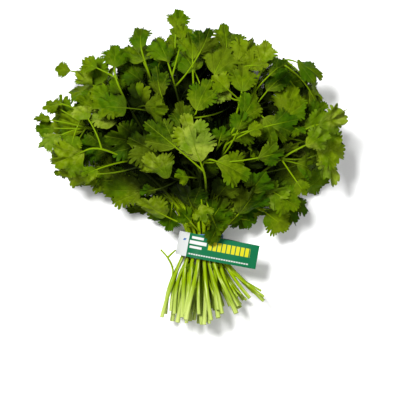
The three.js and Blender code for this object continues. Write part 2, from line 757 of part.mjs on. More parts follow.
const grown = shoots.filter((shoot) => shoot.rings);
for (const shoot of grown) shoot.solid = shootSolid(shoot);
trimTouching(grown);
grown.forEach((shoot, i) =>
  addPiece(`shoot_${String(i + 1).padStart(2, "0")}`, toGeometry(shoot.solid), leafGreen),
);
addPiece("band", band, rubber);
addPiece("label", label, paper);

export default bunch;
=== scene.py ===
"""A tied bunch of fresh coriander, lying on its side: the finished surfaces round its solids.

Each shoot's solid is replaced by a smooth stem with toothed, veined leaves where the solid has its plain
ones, and with smaller leaves between them. The band and the label are made again as rubber and printed paper.
Plans are in millimetres, with Y along the bunch and the origin under the tie. Meshes are in metres.
"""
import math
from functools import cache
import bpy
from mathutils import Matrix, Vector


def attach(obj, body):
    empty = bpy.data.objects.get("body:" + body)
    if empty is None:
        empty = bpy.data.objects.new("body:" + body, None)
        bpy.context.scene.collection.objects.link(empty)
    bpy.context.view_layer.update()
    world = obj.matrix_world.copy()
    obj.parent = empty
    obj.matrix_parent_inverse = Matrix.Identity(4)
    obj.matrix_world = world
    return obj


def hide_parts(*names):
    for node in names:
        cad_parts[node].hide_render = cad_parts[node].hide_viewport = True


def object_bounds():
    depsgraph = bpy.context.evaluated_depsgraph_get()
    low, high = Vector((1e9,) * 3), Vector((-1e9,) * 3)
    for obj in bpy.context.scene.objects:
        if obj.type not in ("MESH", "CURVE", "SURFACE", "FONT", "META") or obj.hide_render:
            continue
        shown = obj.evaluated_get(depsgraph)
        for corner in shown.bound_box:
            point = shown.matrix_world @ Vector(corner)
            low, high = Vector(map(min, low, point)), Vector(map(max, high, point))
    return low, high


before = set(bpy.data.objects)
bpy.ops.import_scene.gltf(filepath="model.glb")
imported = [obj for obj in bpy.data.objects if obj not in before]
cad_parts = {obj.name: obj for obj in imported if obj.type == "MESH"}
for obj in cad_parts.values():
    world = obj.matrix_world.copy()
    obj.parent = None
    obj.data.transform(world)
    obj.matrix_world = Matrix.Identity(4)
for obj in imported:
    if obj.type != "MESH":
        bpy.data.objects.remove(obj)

from types import SimpleNamespace

import bpy
import numpy as np
from mathutils import Vector, kdtree

bl_info = {
    "name": "Coriander bunch",
    "version": (1, 0, 0),
    "blender": (4, 5, 0),
    "location": "View3D > Sidebar > Bunch",
    "description": "Grows the leaves, stems, band and label of a tied bunch of coriander",
    "category": "Object",
}

MM = 0.001
CAD_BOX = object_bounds()

# ---- Sizes that the solids share, in millimetres and degrees -----------------------------------

SEED = 22
SHOOT_COUNT = 54
NECK_HALF_WIDTH = 16.3
NECK_HALF_DEPTH = 14.7
BUTT_RADIUS = 2.1
NECK_RADIUS = 1.5
TIP_RADIUS = 0.8
BUTT_LENGTH = 70
BOW_FAN = (1, 0.2)
BOW_BACK = 0.36
BUTT_FAN = (2.3, 3.2)
BUTT_LIFT = 1.5
TOP_STRAY = 6
INNER_STRAY = 5
# How far a cut end may be raised: on top, growing with each try, and lower down.
TOP_RISE, TOP_RISE_STEP, INNER_RISE = 2, 0.15, 0.8
BUTT_UNEVEN = (-7, 3)
BUTT_SLANT = (0.5, 1.6)
GAP = 0.3

BAND_AT = 8.5
BAND_WIDTH = 3.6
BAND_THICKNESS = 1.2
BAND_SLACK = 1.3

PAPER = 0.6
LABEL_WIDTH = 21.6
LABEL_TURN = 10.5
LABEL_CENTRE_Y = -1.5
LOOP_SLACK = 0.1
LOOP_HALF_WIDTH = 26.4
LOOP_MIDDLE = 2.4
LOOP_JOIN = 32
FLAG_END = 49
BAND_REACH = NECK_RADIUS + BAND_SLACK + BAND_THICKNESS
LOOP_HALF_DEPTH = NECK_HALF_DEPTH + BAND_REACH + GAP + LOOP_SLACK
NECK_HEIGHT = LOOP_HALF_DEPTH + PAPER

HEAD_CENTRE = (-5, 98)
HEAD_HALF = (134, 99)
HEAD_MID_HEIGHT = 48
HEAD_HALF_DEPTH = 48
HEAD_ROOM = 12
HEAD_RAISED, HEAD_GROWN = 100, 85  # where along the bunch the head has its full height, and its full depth
THINNEST = 0.08  # at its edge the head keeps the square root of this as a share of its depth
UP_PULL = 0.55  # how much the way out of the head leans upwards

BLADE_HALF = 0.6
BLADE_MIDDLE = 0.42
LOWEST = 0.15
FLOOR = LOWEST + BLADE_HALF
FLOOR_EASE = 7

# A solid leaf's outline round its middle: degrees off its rib, and share of its length.
OUTLINE = ((13, 0.48), (21, 0.51), (33, 0.27), (50, 0.5), (60, 0.45), (73, 0.57), (96, 0.47), (134, 0.34))
TIP_SHARE = 1 - BLADE_MIDDLE
CUT_POINT = 2

# What the solids draw for each leaf.
END_LEAF = {
    "cut": (0.85, 1.5), "width": (0.88, 1.08), "fold": (-0.15, 0.3), "cup": (0.002, 0.012),
    "bend": (0.4, 1.4), "tilt": (-34, 34),
}
SIDE_LEAF = {
    "cut": (0.8, 1.5), "width": (0.8, 1.05), "fold": (-0.2, 0.35), "cup": (0.002, 0.014),
    "bend": (0.2, 1), "tilt": (-50, 50), "share": (0.2, 0.94), "turn": (0, 360), "lean": (22, 68),
    "petiole": (12, 56), "size": (24, 38),
}
COLLAR_LEAF = {**SIDE_LEAF, "share": (0.08, 0.4), "petiole": (8, 30)}
END_STRAY = {"x": 30, "y": 30, "lift": 0.5, "heading": 90, "rise": 0.8, "tilt": 60}
END_PETIOLE = 3
END_SHRINK = 0.3
END_UP, SIDE_UP = 0.35, 0.3  # how far a blade's upper face is turned from outward to straight up
END_LEAST_Y, END_LEAST_Z = 30, 5
# How an end leaf follows the head's slope: felt this far ahead, a share of it, within limits, and a bit more.
SLOPE_STEP, SLOPE_SHARE, SLOPE_LIMITS, SLOPE_RISE = 8, 0.7, (-0.9, 0.7), 0.12
SHARPEST_TURN = math.radians(100)
# The most that a stem strays, as a share of the way to its leaf, and how many times less it does at the tie.
STEM_SWAY, TIE_SWAY = 0.35, 8
# Where a stem's curve is pulled to: out from the tie, ahead of it, and back from the leaf.
LEAVE_OUT, LEAVE_AHEAD, ARRIVE_BACK = (0.1, 0.15), (30, 0.09), 0.2
LOWER_TRIES, END_TRIES, SIDE_TRIES = 80, 500, 260
AIM_KEY, LOWER_KEY, STEM_KEY, END_KEY = 700000, 100000, 200000, 300000
COLLAR_KEY, SIDE_KEYS = 400000, (500000, 600000)
UPPER_SHARES = (0, 0.25, 0.5, 0.72, 0.88, 1)

# The shoots that show most, as in the solids: where the end leaf starts (x, y), its place between the
# underside (0) and the top (1) of the head, its heading and its length. The last is how young it looks:
# 0 is a dark old leaf and 1 a pale young one.
LEADING = (
    (-112, 89, 0.75, -80, 31, 0.85),
    (-23, 58, 1.05, -75, 22, 0.9),
    (-25, 190, 0.75, 8, 20, 0.6),
    (-10, 162, 0.95, 0, 27, 0.5),
    (20, 172, 0.85, 0, 26, 0.45),
    (50, 158, 0.95, 15, 24, 0.75),
    (79, 165, 0.9, 110, 30, 0.25),
    (98, 107, 0.9, 75, 31, 0.85),
    (86, 88, 1, 65, 26, 0.8),
    (109, 91, 0.55, 140, 24, 0.25),
    (70, 44, 0.9, 100, 32, 0.6),
    (59, 39, 0.6, 150, 28, 0.6),
    (60, 60, 1.05, -60, 24, 0.5),
    (8, 76, 1.05, 110, 34, 0.55),
    (-4, 73, 1.1, -20, 36, 1.0),
    (-13, 109, 1, -5, 34, 0.4),
    (-64, 104, 1, -5, 34, 0.9),
    (-58, 115, 0.9, 110, 27, 0.45),
    (-83, 158, 0.8, 0, 24, 0.4),
    (-62, 166, 0.85, 15, 26, 0.3),
    (-31, 158, 0.9, -15, 30, 0.5),
    (-112, 160, 0.5, -80, 16, 0.5),
    (-87, 115, 0.95, -60, 27, 0.7),
    (-138, 118, 0.6, -80, 18, 0.5),
    (-103, 85, 0.95, -115, 34, 0.75),
    (-96, 64, 0.6, 185, 22, 0.35),
    (30, 109, 1.02, 40, 30, 0.5),
    (52, 113, 0.95, 170, 32, 0.35),
    (77, 104, 0.95, 5, 33, 0.6),
    (22, 134, 1.05, -80, 22, 0.95),
    (8, 148, 0.95, 20, 30, 0.45),
    (29, 134, 1, 5, 27, 0.5),
    (19, 94, 0.9, 60, 28, 0.3),
)
AIM = ("x", "y", "lift", "heading", "size", "young")

# The other shoots fill the head, each one further round it: the ellipse that they fill, how far along the
# bunch it is moved, how high they may be, and what is drawn for each.
FILL_HALF, FILL_AHEAD = (96, 61), 6
FILL_LIFT, FILL_LIFT_STEP = 0.7, 0.618
FILL_LEAF = {"heading": (-60, 60), "size": (26, 32), "young": (0.1, 0.5)}
FAN_FROM = 30  # how far before the tie the shoots seem to fan out from
NECK_GRID = range(-6, 7)

# ---- Small helpers ------------------------------------------------------------------------------

WORD = 0xFFFFFFFF


def draw(*keys):
    """A number from 0 to 1 that depends only on the seed and the keys, as in the solids."""
    h = SEED
    for key in keys:
        h = ((h ^ (key + 0x9E3779B9)) * 0x85EBCA6B) & WORD
        h ^= h >> 13
        h = (h * 0xC2B2AE35) & WORD
        h ^= h >> 16
    return h / 2**32


def lerp(a, b, t):
    return (1 - t) * a + t * b


def drawn(ranges, *keys):
    """One draw in each named range."""
    return {name: lerp(*span, draw(*keys, i)) for i, (name, span) in enumerate(ranges.items())}


def strayed(amounts, *keys):
    return drawn({name: (-most, most) for name, most in amounts.items()}, *keys)


def ramp(u):
    t = min(max(u, 0), 1)
    return t * t * (3 - 2 * t)


def unit(v):
    return v / np.linalg.norm(v)


def vec(x, y, z):
    return np.array((x, y, z), float)


UP = vec(0, 0, 1)


def turned(v, axis, angle):
    """v turned round an axis of length 1."""
    cos, sin = math.cos(angle), math.sin(angle)
    return v * cos + np.cross(axis, v) * sin + axis * (axis @ v) * (1 - cos)


def tree_of(points):
    tree = kdtree.KDTree(len(points))
    for i, point in enumerate(points):
        tree.insert(point, i)
    tree.balance()
    return tree


def read(items, name, width=1, kind=float):
    """One value of each of a mesh's items, as the rows of an array."""
    values = np.zeros(len(items) * width, kind)
    items.foreach_get(name, values)
    return values.reshape(-1, width)


def write(items, name, values):
    items.foreach_set(name, np.asarray(values, np.float32).ravel())


# ---- The solids' own plan: which leaf grows where -----------------------------------------------


def in_head(x, y, room=(0, 0)):
    """A place in the plan, as shares of the head's half width and half length from its middle."""
    across = (x - HEAD_CENTRE[0]) / (HEAD_HALF[0] + room[0])
    return across, (y - HEAD_CENTRE[1]) / (HEAD_HALF[1] + room[1])


def head_middle(y):
    return lerp(NECK_HEIGHT, HEAD_MID_HEIGHT, ramp(y / HEAD_RAISED))


def head_height(x, y, lift):
    """The height at a share of the way from the head's underside to its top."""
    across, along = in_head(x, y)
    thickness = math.sqrt(max(THINNEST, 1 - across * across - along * along))
    grown = ramp(y / HEAD_GROWN)
    half = lerp(NECK_HALF_DEPTH + HEAD_ROOM, HEAD_HALF_DEPTH, grown) * lerp(1, thickness, grown)
    return head_middle(y) + half * (2 * lift - 1)


def outward(p):
    """The way out of the head at a point, with some pull upwards."""
    across, along = in_head(p[0], p[1])
    return unit(vec(across / 2, along / 2, (p[2] - head_middle(p[1])) / HEAD_HALF_DEPTH + UP_PULL))


def neck_columns():
    """The stems' places in the neck, (x, z) off its middle, in columns from the left and each from below."""
    step = math.sin(math.pi / 3)
    spacing = math.sqrt((math.pi * NECK_HALF_WIDTH * NECK_HALF_DEPTH) / (SHOOT_COUNT * step))
    places = []
    for column in NECK_GRID:
        for row in NECK_GRID:
            x, z = column * spacing * step, (row + (column & 1) / 2) * spacing
            places.append(((x / NECK_HALF_WIDTH) ** 2 + (z / NECK_HALF_DEPTH) ** 2, x, z, column))
    kept = sorted(places)[:SHOOT_COUNT]
    columns = sorted({place[3] for place in kept})
    return [sorted((p[1:3] for p in kept if p[3] == column), key=lambda p: p[1]) for column in columns]


def aims():
    """What each shoot is meant to reach: the leading ones as listed, the rest spread over the head."""
    found = [dict(zip(AIM, row)) for row in LEADING]
    rest = SHOOT_COUNT - len(LEADING)
    for i in range(rest):
        out, turn = math.sqrt((i + 0.5) / rest), i * math.pi * (3 - math.sqrt(5))
        x = HEAD_CENTRE[0] + FILL_HALF[0] * out * math.cos(turn)
        y = HEAD_CENTRE[1] + FILL_HALF[1] * out * math.sin(turn) + FILL_AHEAD
        values = drawn(FILL_LEAF, AIM_KEY, i)
        values["heading"] = math.degrees(math.atan2(x, y)) + values["heading"]
        found.append(dict(x=x, y=y, lift=FILL_LIFT * ((i * FILL_LIFT_STEP) % 1), **values))
    return [SimpleNamespace(**aim, index=i, z=head_height(aim["x"], aim["y"], aim["lift"]))
            for i, aim in enumerate(found)]


def shoots_in_order():
    """The aims, each with its stem's place in the neck, so that the stems fan out without crossing."""
    def fan(aim):
        return math.atan2(aim.x, math.hypot(aim.y + FAN_FROM, aim.z - NECK_HEIGHT))

    def climb(aim):
        return math.atan2(aim.z - NECK_HEIGHT, math.hypot(aim.y + FAN_FROM, aim.x))

    waiting = sorted(aims(), key=fan)
    shoots = []
    for column in neck_columns():
        group = sorted(waiting[:len(column)], key=climb)
        waiting = waiting[len(column):]
        for shoot, place in zip(group, column):
            shoot.slot, shoot.on_top = place, shoot is group[-1]
            shoots.append(shoot)
    return sorted(shoots, key=lambda shoot: shoot.index)


def neck_point(shoot):
    return vec(shoot.slot[0], 0, NECK_HEIGHT + shoot.slot[1])


def bowed(butt, bow, end):
    """The four points of a curve from a cut end that is pulled towards one point on its way."""
    return butt, butt + (bow - butt) * 2 / 3, end + (bow - end) * 2 / 3, end


def lower_stem(shoot, attempt):
    """A stem's curve from its cut end to the tie."""
    slot_x, slot_z = shoot.slot
    side = 0 if slot_x < 0 else 1
    stray = (TOP_STRAY if shoot.on_top else INNER_STRAY) * (1 - attempt / LOWER_TRIES)
    rise = TOP_RISE + TOP_RISE_STEP * attempt if shoot.on_top else INNER_RISE
    by = drawn({"x": (-stray, stray), "z": (0, rise)}, shoot.index, LOWER_KEY + attempt)
    uneven = lerp(*BUTT_UNEVEN, draw(shoot.index, LOWER_KEY))
    length = BUTT_LENGTH - BUTT_SLANT[side] * abs(slot_x) + uneven
    height = BUTT_RADIUS + 1 + (slot_z + NECK_HALF_DEPTH) * BUTT_LIFT + by["z"]
    butt, neck = vec(slot_x * BUTT_FAN[side] + by["x"], -length, height), neck_point(shoot)
    return bowed(butt, neck + vec(slot_x * BOW_FAN[side], -BOW_BACK * length, 0), neck)


def upper_stem(shoot, start, along, attempt):
    """A stem's curve from the tie to its end leaf."""
    neck = neck_point(shoot)
    distance = np.linalg.norm(start - neck)
    sway = STEM_SWAY * distance * attempt / END_TRIES
    amounts = {"x": sway, "y": sway, "z": sway, "tie_x": sway / TIE_SWAY, "tie_z": sway / TIE_SWAY}
    by = strayed(amounts, shoot.index, STEM_KEY + attempt)
    leave = neck + vec(
        LEAVE_OUT[0] * shoot.slot[0] + by["tie_x"],
        LEAVE_AHEAD[0] + LEAVE_AHEAD[1] * distance,
        LEAVE_OUT[1] * shoot.slot[1] + by["tie_z"],
    )
    arrive = start - ARRIVE_BACK * distance * along + vec(by["x"], by["y"], by["z"])
    arrive[2] = max(arrive[2], FLOOR_EASE)
    return neck, leave, arrive, start


def on_curve(points, t):
    """A curve's point at t, and the way it runs there."""
    a, b, c, d = points
    u = 1 - t
    at = u**3 * a + 3 * u * u * t * b + 3 * u * t * t * c + t**3 * d
    run = u * u * (b - a) + 2 * u * t * (c - b) + t * t * (d - c)
    return at, unit(run)


def on_solid_stem(upper, share):
    """The same on the solid's stem, which is straight between its rings."""
    above = next(i for i, s in enumerate(UPPER_SHARES) if s > share)
    low, high = UPPER_SHARES[above - 1], UPPER_SHARES[above]
    part = (share - low) / (high - low)
    (a, a_run), (b, b_run) = on_curve(upper, low), on_curve(upper, high)
    return lerp(a, b, part), unit(lerp(a_run, b_run, part))


def make_leaf(start, along, up, **values):
    """A leaf's frame and its drawn sizes. It bends along an arc away from its upper face."""
    leaf = SimpleNamespace(start=start, T=along, young=None, **values)
    leaf.N = unit(up - up @ along * along)
    leaf.B = np.cross(leaf.N, along)
    leaf.bend = math.radians(leaf.bend)
    return leaf


def end_leaf(shoot, attempt):
    """One of the ways to place a shoot's end leaf, and the stem that leads to it."""
    index, stray = shoot.index, attempt / END_TRIES
    by = strayed(END_STRAY, index, END_KEY + attempt)
    x, y = shoot.x + by["x"] * stray, max(shoot.y + by["y"] * stray, END_LEAST_Y)
    start = vec(x, y, max(head_height(x, y, shoot.lift + by["lift"] * stray), END_LEAST_Z))
    heading = math.radians(shoot.heading + by["heading"] * stray)
    flat = vec(math.sin(heading), math.cos(heading), 0)
    ahead = head_height(x + SLOPE_STEP * flat[0], y + SLOPE_STEP * flat[1], shoot.lift)
    slope = (ahead - head_height(x, y, shoot.lift)) / SLOPE_STEP
    steepness = min(max(slope * SLOPE_SHARE, SLOPE_LIMITS[0]), SLOPE_LIMITS[1])
    along = unit(flat + (steepness + by["rise"] * stray + SLOPE_RISE) * UP)
    reach = unit(start - neck_point(shoot))
    excess = math.acos(min(max(along @ reach, -1), 1)) - SHARPEST_TURN
    if excess > 0:
        along = turned(along, unit(np.cross(along, reach)), excess)
    values = drawn(END_LEAF, index, END_KEY)
    tilt = math.radians(values["tilt"] + by["tilt"] * stray)
    up = turned(lerp(outward(start), UP, END_UP), along, tilt)
    size = shoot.size * (1 - END_SHRINK * stray)
    leaf = make_leaf(start, along, up, **values, size=size, petiole=END_PETIOLE, key=END_KEY)
    return leaf, upper_stem(shoot, start, along, attempt)


def side_leaf(shoot, ranges, key, attempt):
    """One of the ways to place a leaf on a shoot's stem."""
    values = drawn(ranges, shoot.index, key + attempt)
    start, run = on_solid_stem(shoot.upper, values["share"])
    side = np.cross(unit(UP - run[2] * run), run)
    side = turned(side, run, math.radians(values["turn"]))
    lean = math.radians(values["lean"])
    along = run * math.cos(lean) + side * math.sin(lean)
    facing = lerp(outward(start + along * values["petiole"]), UP, SIDE_UP)
    up = turned(facing, along, math.radians(values["tilt"]))
    return make_leaf(start, along, up, **values, key=key + attempt)


def leaf_points(leaf, s, w, h=0.0, ripple=0.0, soft=0.0):
    """Points of a leaf: s along its rib, w across and h over its middle surface. soft rounds the fold."""
    s, w = np.asarray(s, float), np.asarray(w, float)
    turn = (leaf.bend * s)[:, None]
    normal = leaf.N * np.cos(turn) + leaf.T * np.sin(turn)
    raised = leaf.fold * (np.sqrt(w * w + soft * soft) - soft) - leaf.cup * w * w + ripple
    points = leaf.start + leaf.T * np.sin(turn) / leaf.bend - leaf.N * (1 - np.cos(turn)) / leaf.bend
    points += leaf.B * w[:, None] + normal * raised[:, None]
    low = points[:, 2] < FLOOR_EASE
    depth = (points[low, 2] - FLOOR_EASE) / (FLOOR_EASE - FLOOR)
    points[low, 2] = FLOOR + (FLOOR_EASE - FLOOR) * np.exp(depth)
    points += normal * np.broadcast_to(h, s.shape)[:, None]
    points[:, 2] = np.maximum(points[:, 2], LOWEST)
    return points


def on_blade(leaf, angle, share):
    """Points of a blade's plan in polar places round its middle, as s and w."""
    turn, r = np.radians(angle), np.asarray(share) * leaf.size
    return leaf.petiole + BLADE_MIDDLE * leaf.size + r * np.cos(turn), r * np.sin(turn) * leaf.width


SEARCH_ANGLES, SEARCH_SHARES = np.array(((0, 21, -21, 73, -73), (TIP_SHARE, 0.51, 0.51, 0.57, 0.57)))
MATCH = 0.03


def is_in_solid(leaf, tree):
    """Whether the solid has this leaf: most of a few points of its outline are corners of the solid."""
    points = leaf_points(leaf, *on_blade(leaf, SEARCH_ANGLES, SEARCH_SHARES))
    return sorted(tree.find(p)[2] for p in points)[2] < MATCH


def is_stem_in_solid(points, tree):
    """The same for a stem, by the lowest corner of its cut end."""
    at, run = on_curve(points, 0)
    return tree.find(at - BUTT_RADIUS * unit(UP - run[2] * run))[2] < MATCH


def first_fit(tries, make, fits):
    """The first try that fits."""
    return next((made for made in map(make, range(tries)) if fits(made)), None)


def plan_of_shoots():
    """Every shoot that the solids have, with its stem's two curves and its leaves, found by going through the
    solids' own draws until one fits."""
    waiting = sorted(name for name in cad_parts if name.startswith("shoot_"))
    found = []
    for shoot in shoots_in_order():
        if not waiting:
            break
        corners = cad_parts[waiting[0]].data.vertices
        tree = tree_of(sorted({tuple(round(c / MM, 4) for c in v.co) for v in corners}))
        end = first_fit(END_TRIES, lambda i: end_leaf(shoot, i), lambda made: is_in_solid(made[0], tree))
        if end is None:
            continue
        shoot.node = waiting.pop(0)
        first, shoot.upper = end
        shoot.lower = first_fit(
            LOWER_TRIES + 1, lambda i: lower_stem(shoot, i), lambda curve: is_stem_in_solid(curve, tree)
        )
        shoot.leaves = [first]
        passes = [(COLLAR_LEAF, COLLAR_KEY)] if shoot.on_top else []
        for ranges, key in passes + [(SIDE_LEAF, key) for key in SIDE_KEYS]:
            side = first_fit(
                SIDE_TRIES, lambda i: side_leaf(shoot, ranges, key, i), lambda leaf: is_in_solid(leaf, tree)
            )
            if side is not None:
                shoot.leaves.append(side)
        found.append(shoot)
    if waiting:
        raise RuntimeError(f"no draw fits the solids {waiting}")
    return found


# ---- The smaller leaves between the solids' ones -------------------------------------------------

# What is drawn for each, as for the solids' side leaves.
BETWEEN_LEAF = {
    "cut": (0.7, 1.4), "width": (0.8, 1.1), "fold": (-0.25, 0.4), "cup": (0.004, 0.02),
    "bend": (0.4, 1.8), "tilt": (-55, 55), "share": (0.12, 0.97), "turn": (0, 360), "lean": (18, 75),
    "petiole": (7, 42), "size": (14, 30),
}
NEAR_LABEL_LEAF = {
    **BETWEEN_LEAF, "share": (0.08, 0.24), "petiole": (5, 26), "lean": (10, 60), "size": (14, 23),
}
BETWEEN_KEY, NEAR_LABEL_KEY, KEY_STEP, PALE_KEY = 1000000, 1900000, 100000, 3000000
BETWEEN_ROUNDS = 8  # each shoot gets one leaf a round, where one finds room
OPEN_ROUNDS = 2  # the rounds after these grow deep in the head only
DEEP_LIFT = 0.72
BETWEEN_TRIES = 44
BETWEEN_CLEAR = 2.4
# Where one looks down into the dark of the head: the middle of each hollow (x, y) and its half sizes.
HOLLOWS = (
    (-33, 138, 17, 24), (-65, 157, 9, 5), (4, 114, 10, 15), (-82, 98, 22, 17), (66, 105, 7, 13),
    (-40, 88, 10, 14), (22, 48, 12, 7), (-17, 45, 17, 10), (38, 135, 6, 9), (88, 146, 6, 6),
)
HOLLOW_LIFT = 0.5
HEAD_START = 12
HEAD_SPARE = (4, 2)  # how far past the head's half width and length its small leaves may reach
HEAD_TAPER = (14, 40, 2.2)  # up to a y it is no wider than this on each side, and it widens so fast past it
OVER_LABEL = (1, 14, 3, 43)  # a leaf may reach back over it between two x, down to a y, above a height
COVER_CELL = 4.0
# Where the head's outline draws in: degrees from +X round its middle, and by what share.
BAYS = ((164, 0.16), (201, 0.1), (216, 0.2), (129, 0.14), (82, 0.1), (-16, 0.12), (-54, 0.16), (45, 0.08))
BAY_HALF = 8

SAMPLE_ANGLES, SAMPLE_SHARES = (
    grid.ravel() for grid in np.meshgrid(np.arange(0, 360, 24), (0.12, 0.26, 0.4))
)
PETIOLE_SAMPLES = (4.0, 3.0)  # where the first is, and how far apart they are
STEM_SAMPLES = 70


def leaf_samples(leaf):
    """Points over a blade and along its petiole, to keep leaves clear of each other."""
    first, step = PETIOLE_SAMPLES
    s = np.arange(first, leaf.petiole, step)
    return leaf_points(leaf, *on_blade(leaf, SAMPLE_ANGLES, SAMPLE_SHARES)), leaf_points(leaf, s, 0 * s)


def stem_samples(shoot):
    return np.array([on_curve(shoot.upper, t)[0] for t in np.linspace(0, 1, STEM_SAMPLES)])


def is_within(points, ellipse):
    """Which points of the plan lie in an ellipse, given by its middle (x, y) and its half sizes."""
    x, y, half_x, half_y = ellipse
    return np.hypot((points[:, 0] - x) / half_x, (points[:, 1] - y) / half_y) < 1


class Room:
    """What is already placed in the head, to keep new leaves clear of it and to see what it leaves bare."""

    def __init__(self):
        self.points, self.owners = [], []
        self.cover = {}
        low, high = (np.array(corner) / MM for corner in CAD_BOX)
        self.low, self.high = low + 1, high - 1

    def add(self, owner, points):
        self.points.extend(map(tuple, points))
        self.owners.extend([owner] * len(points))

    def add_leaf(self, shoot, blade, petiole):
        """A blade has no owner, so that the leaves of its own shoot keep clear of it too."""
        self.add(None, blade)
        self.add(shoot.index, petiole)
        for cell in self.cells(blade):
            self.cover[cell] = self.cover.get(cell, 0) + 1

    def cells(self, points):
        return [tuple(cell) for cell in np.floor(points[:, :2] / COVER_CELL).astype(int)]

    def settle(self):
        self.tree = tree_of(self.points)

    def gain(self, blade):
        """How much of what is still bare from above a blade covers."""
        return sum(1 / (1 + self.cover.get(cell, 0)) ** 2 for cell in self.cells(blade))

    def holds(self, blade):
        """Whether a blade is within the head's outline, or lies back over the label where it may."""
        x, y, z = blade.T
        turn = np.degrees(np.arctan2(y - HEAD_CENTRE[1], x - HEAD_CENTRE[0]))
        limit = 1.0
        for middle, depth in BAYS:
            off = (turn - middle + 180) % 360 - 180
            limit = limit - depth * np.exp(-((off / BAY_HALF) ** 2))
        taper_from, narrow, widening = HEAD_TAPER
        fits = np.hypot(*in_head(x, y, HEAD_SPARE)) < limit
        fits &= np.abs(x) < narrow + widening * np.maximum(0, y - taper_from)
        left, right, back, lowest = OVER_LABEL
        fits &= (y > HEAD_START) | ((x > left) & (x < right) & (y > back) & (z > lowest))
        return bool(np.all(fits) and np.all(blade > self.low) and np.all(blade < self.high))

    def is_clear(self, shoot, samples):
        """Whether a leaf's samples keep away from all but its own shoot's stem and petioles."""
        return all(self.owners[i] == shoot.index
                   for point in np.vstack(samples) for _, i, _ in self.tree.find_range(point, BETWEEN_CLEAR))


# Leaves at places of their own, at the neck and round the head's outline: where each one's tip is (x, y), its
# place between the underside and the top, about where it leaves a stem (x, y), its length and how young it
# looks. A row's draws depend on its number. One that finds no room is passed over.
PLACED = (
    (3, 3, 0.93, 24, 26, 18, 0.15),
    (-32, 11, 0.7, -22, 50, 20, 0.35),
    (-38, 20, 0.35, -25, 50, 18, 0.2),
    (37, 13, 0.5, 22, 45, 20, 0.3),
    (12, 8, 1.1, 5, 45, 15, 0.45),
    (-153, 106, 0.45, -95, 90, 18, 0.55),
    (-152, 120, 0.55, -100, 100, 15, 0.5),
    (-141, 131, 0.6, -100, 100, 16, 0.5),
    (-135, 62, 0.5, -80, 70, 20, 0.4),
    (-99, 47, 0.3, -60, 60, 17, 0.35),
    (-84, 38, 0.3, -50, 55, 18, 0.3),
    (93, 23, 0.4, 55, 60, 26, 0.35),
    (106, 36, 0.4, 60, 65, 24, 0.3),
    (110, 128, 0.7, 75, 105, 20, 0.35),
    (-27, 201, 0.4, -14, 165, 12, 0.4),
    (-42, 176, 0.35, -22, 130, 27, 0.1),
    (-31, 175, 0.25, -15, 130, 22, 0.1),
    (-84, 167, 0.35, -50, 125, 28, 0.1),
    (-72, 170, 0.25, -45, 125, 24, 0.1),
    (101, 153, 0.35, 65, 115, 28, 0.1),
    (92, 158, 0.25, 60, 120, 24, 0.1),
)
PLACED_KEY, PLACED_TRIES = 2500000, 100
PLACED_LEAF = {
    **END_LEAF, "cut": (0.75, 1.2), "bend": (0.1, 0.5), "tilt": (-60, 60), "lift": (-0.12, 0.12),
    "aside": (-6, 6),
}
PLACED_UP, PLACED_LEAST_Z, PLACED_LEAST_PETIOLE = 0.4, 6, 5
ROOT_SINK = 0.3  # how far a placed leaf's root is drawn from its tip's height to the head's middle


def placed_leaf(place, shoots, key):
    """One of the ways to place a listed leaf, and the shoot on which it grows."""
    x, y, lift, root_x, root_y, size, young = place
    values = drawn(PLACED_LEAF, key)
    tip = vec(x, y, max(head_height(x, y, lift + values["lift"]), PLACED_LEAST_Z))
    root = vec(root_x + values["aside"], root_y, lerp(tip[2], HEAD_MID_HEIGHT, ROOT_SINK))
    gaps = [np.linalg.norm(samples - root, axis=1) for _, samples in shoots]
    nearest = min(range(len(shoots)), key=lambda i: gaps[i].min())
    shoot, share = shoots[nearest][0], gaps[nearest].argmin() / (STEM_SAMPLES - 1)
    start = on_curve(shoot.upper, share)[0]
    along = unit(tip - start)
    up = turned(lerp(outward(tip), UP, PLACED_UP), along, math.radians(values["tilt"]))
    petiole = max(np.linalg.norm(tip - start) - size, PLACED_LEAST_PETIOLE)
    leaf = make_leaf(start, along, up, **values, key=key, share=share, size=size, petiole=petiole)
    leaf.young = young
    return leaf, shoot


def add_placed(plan, room):
    shoots = [(shoot, stem_samples(shoot)) for shoot in plan]
    for number, place in enumerate(PLACED):
        room.settle()
        for attempt in range(PLACED_TRIES):
            leaf, shoot = placed_leaf(place, shoots, PLACED_KEY + number * PLACED_TRIES + attempt)
            samples = leaf_samples(leaf)
            if room.is_clear(shoot, samples):
                shoot.leaves.append(leaf)
                room.add_leaf(shoot, *samples)
                break


def is_under(blade, lift):
    """Whether a blade lies below a share of the head's height, or a lower one in a hollow, so that what one
    sees there stays dark."""
    if any(np.any(is_within(blade, hollow)) for hollow in HOLLOWS):
        lift = min(lift, HOLLOW_LIFT)
    x, y, z = blade[blade[:, 2].argmax()]
    return lift == 1 or z < head_height(x, y, lift)


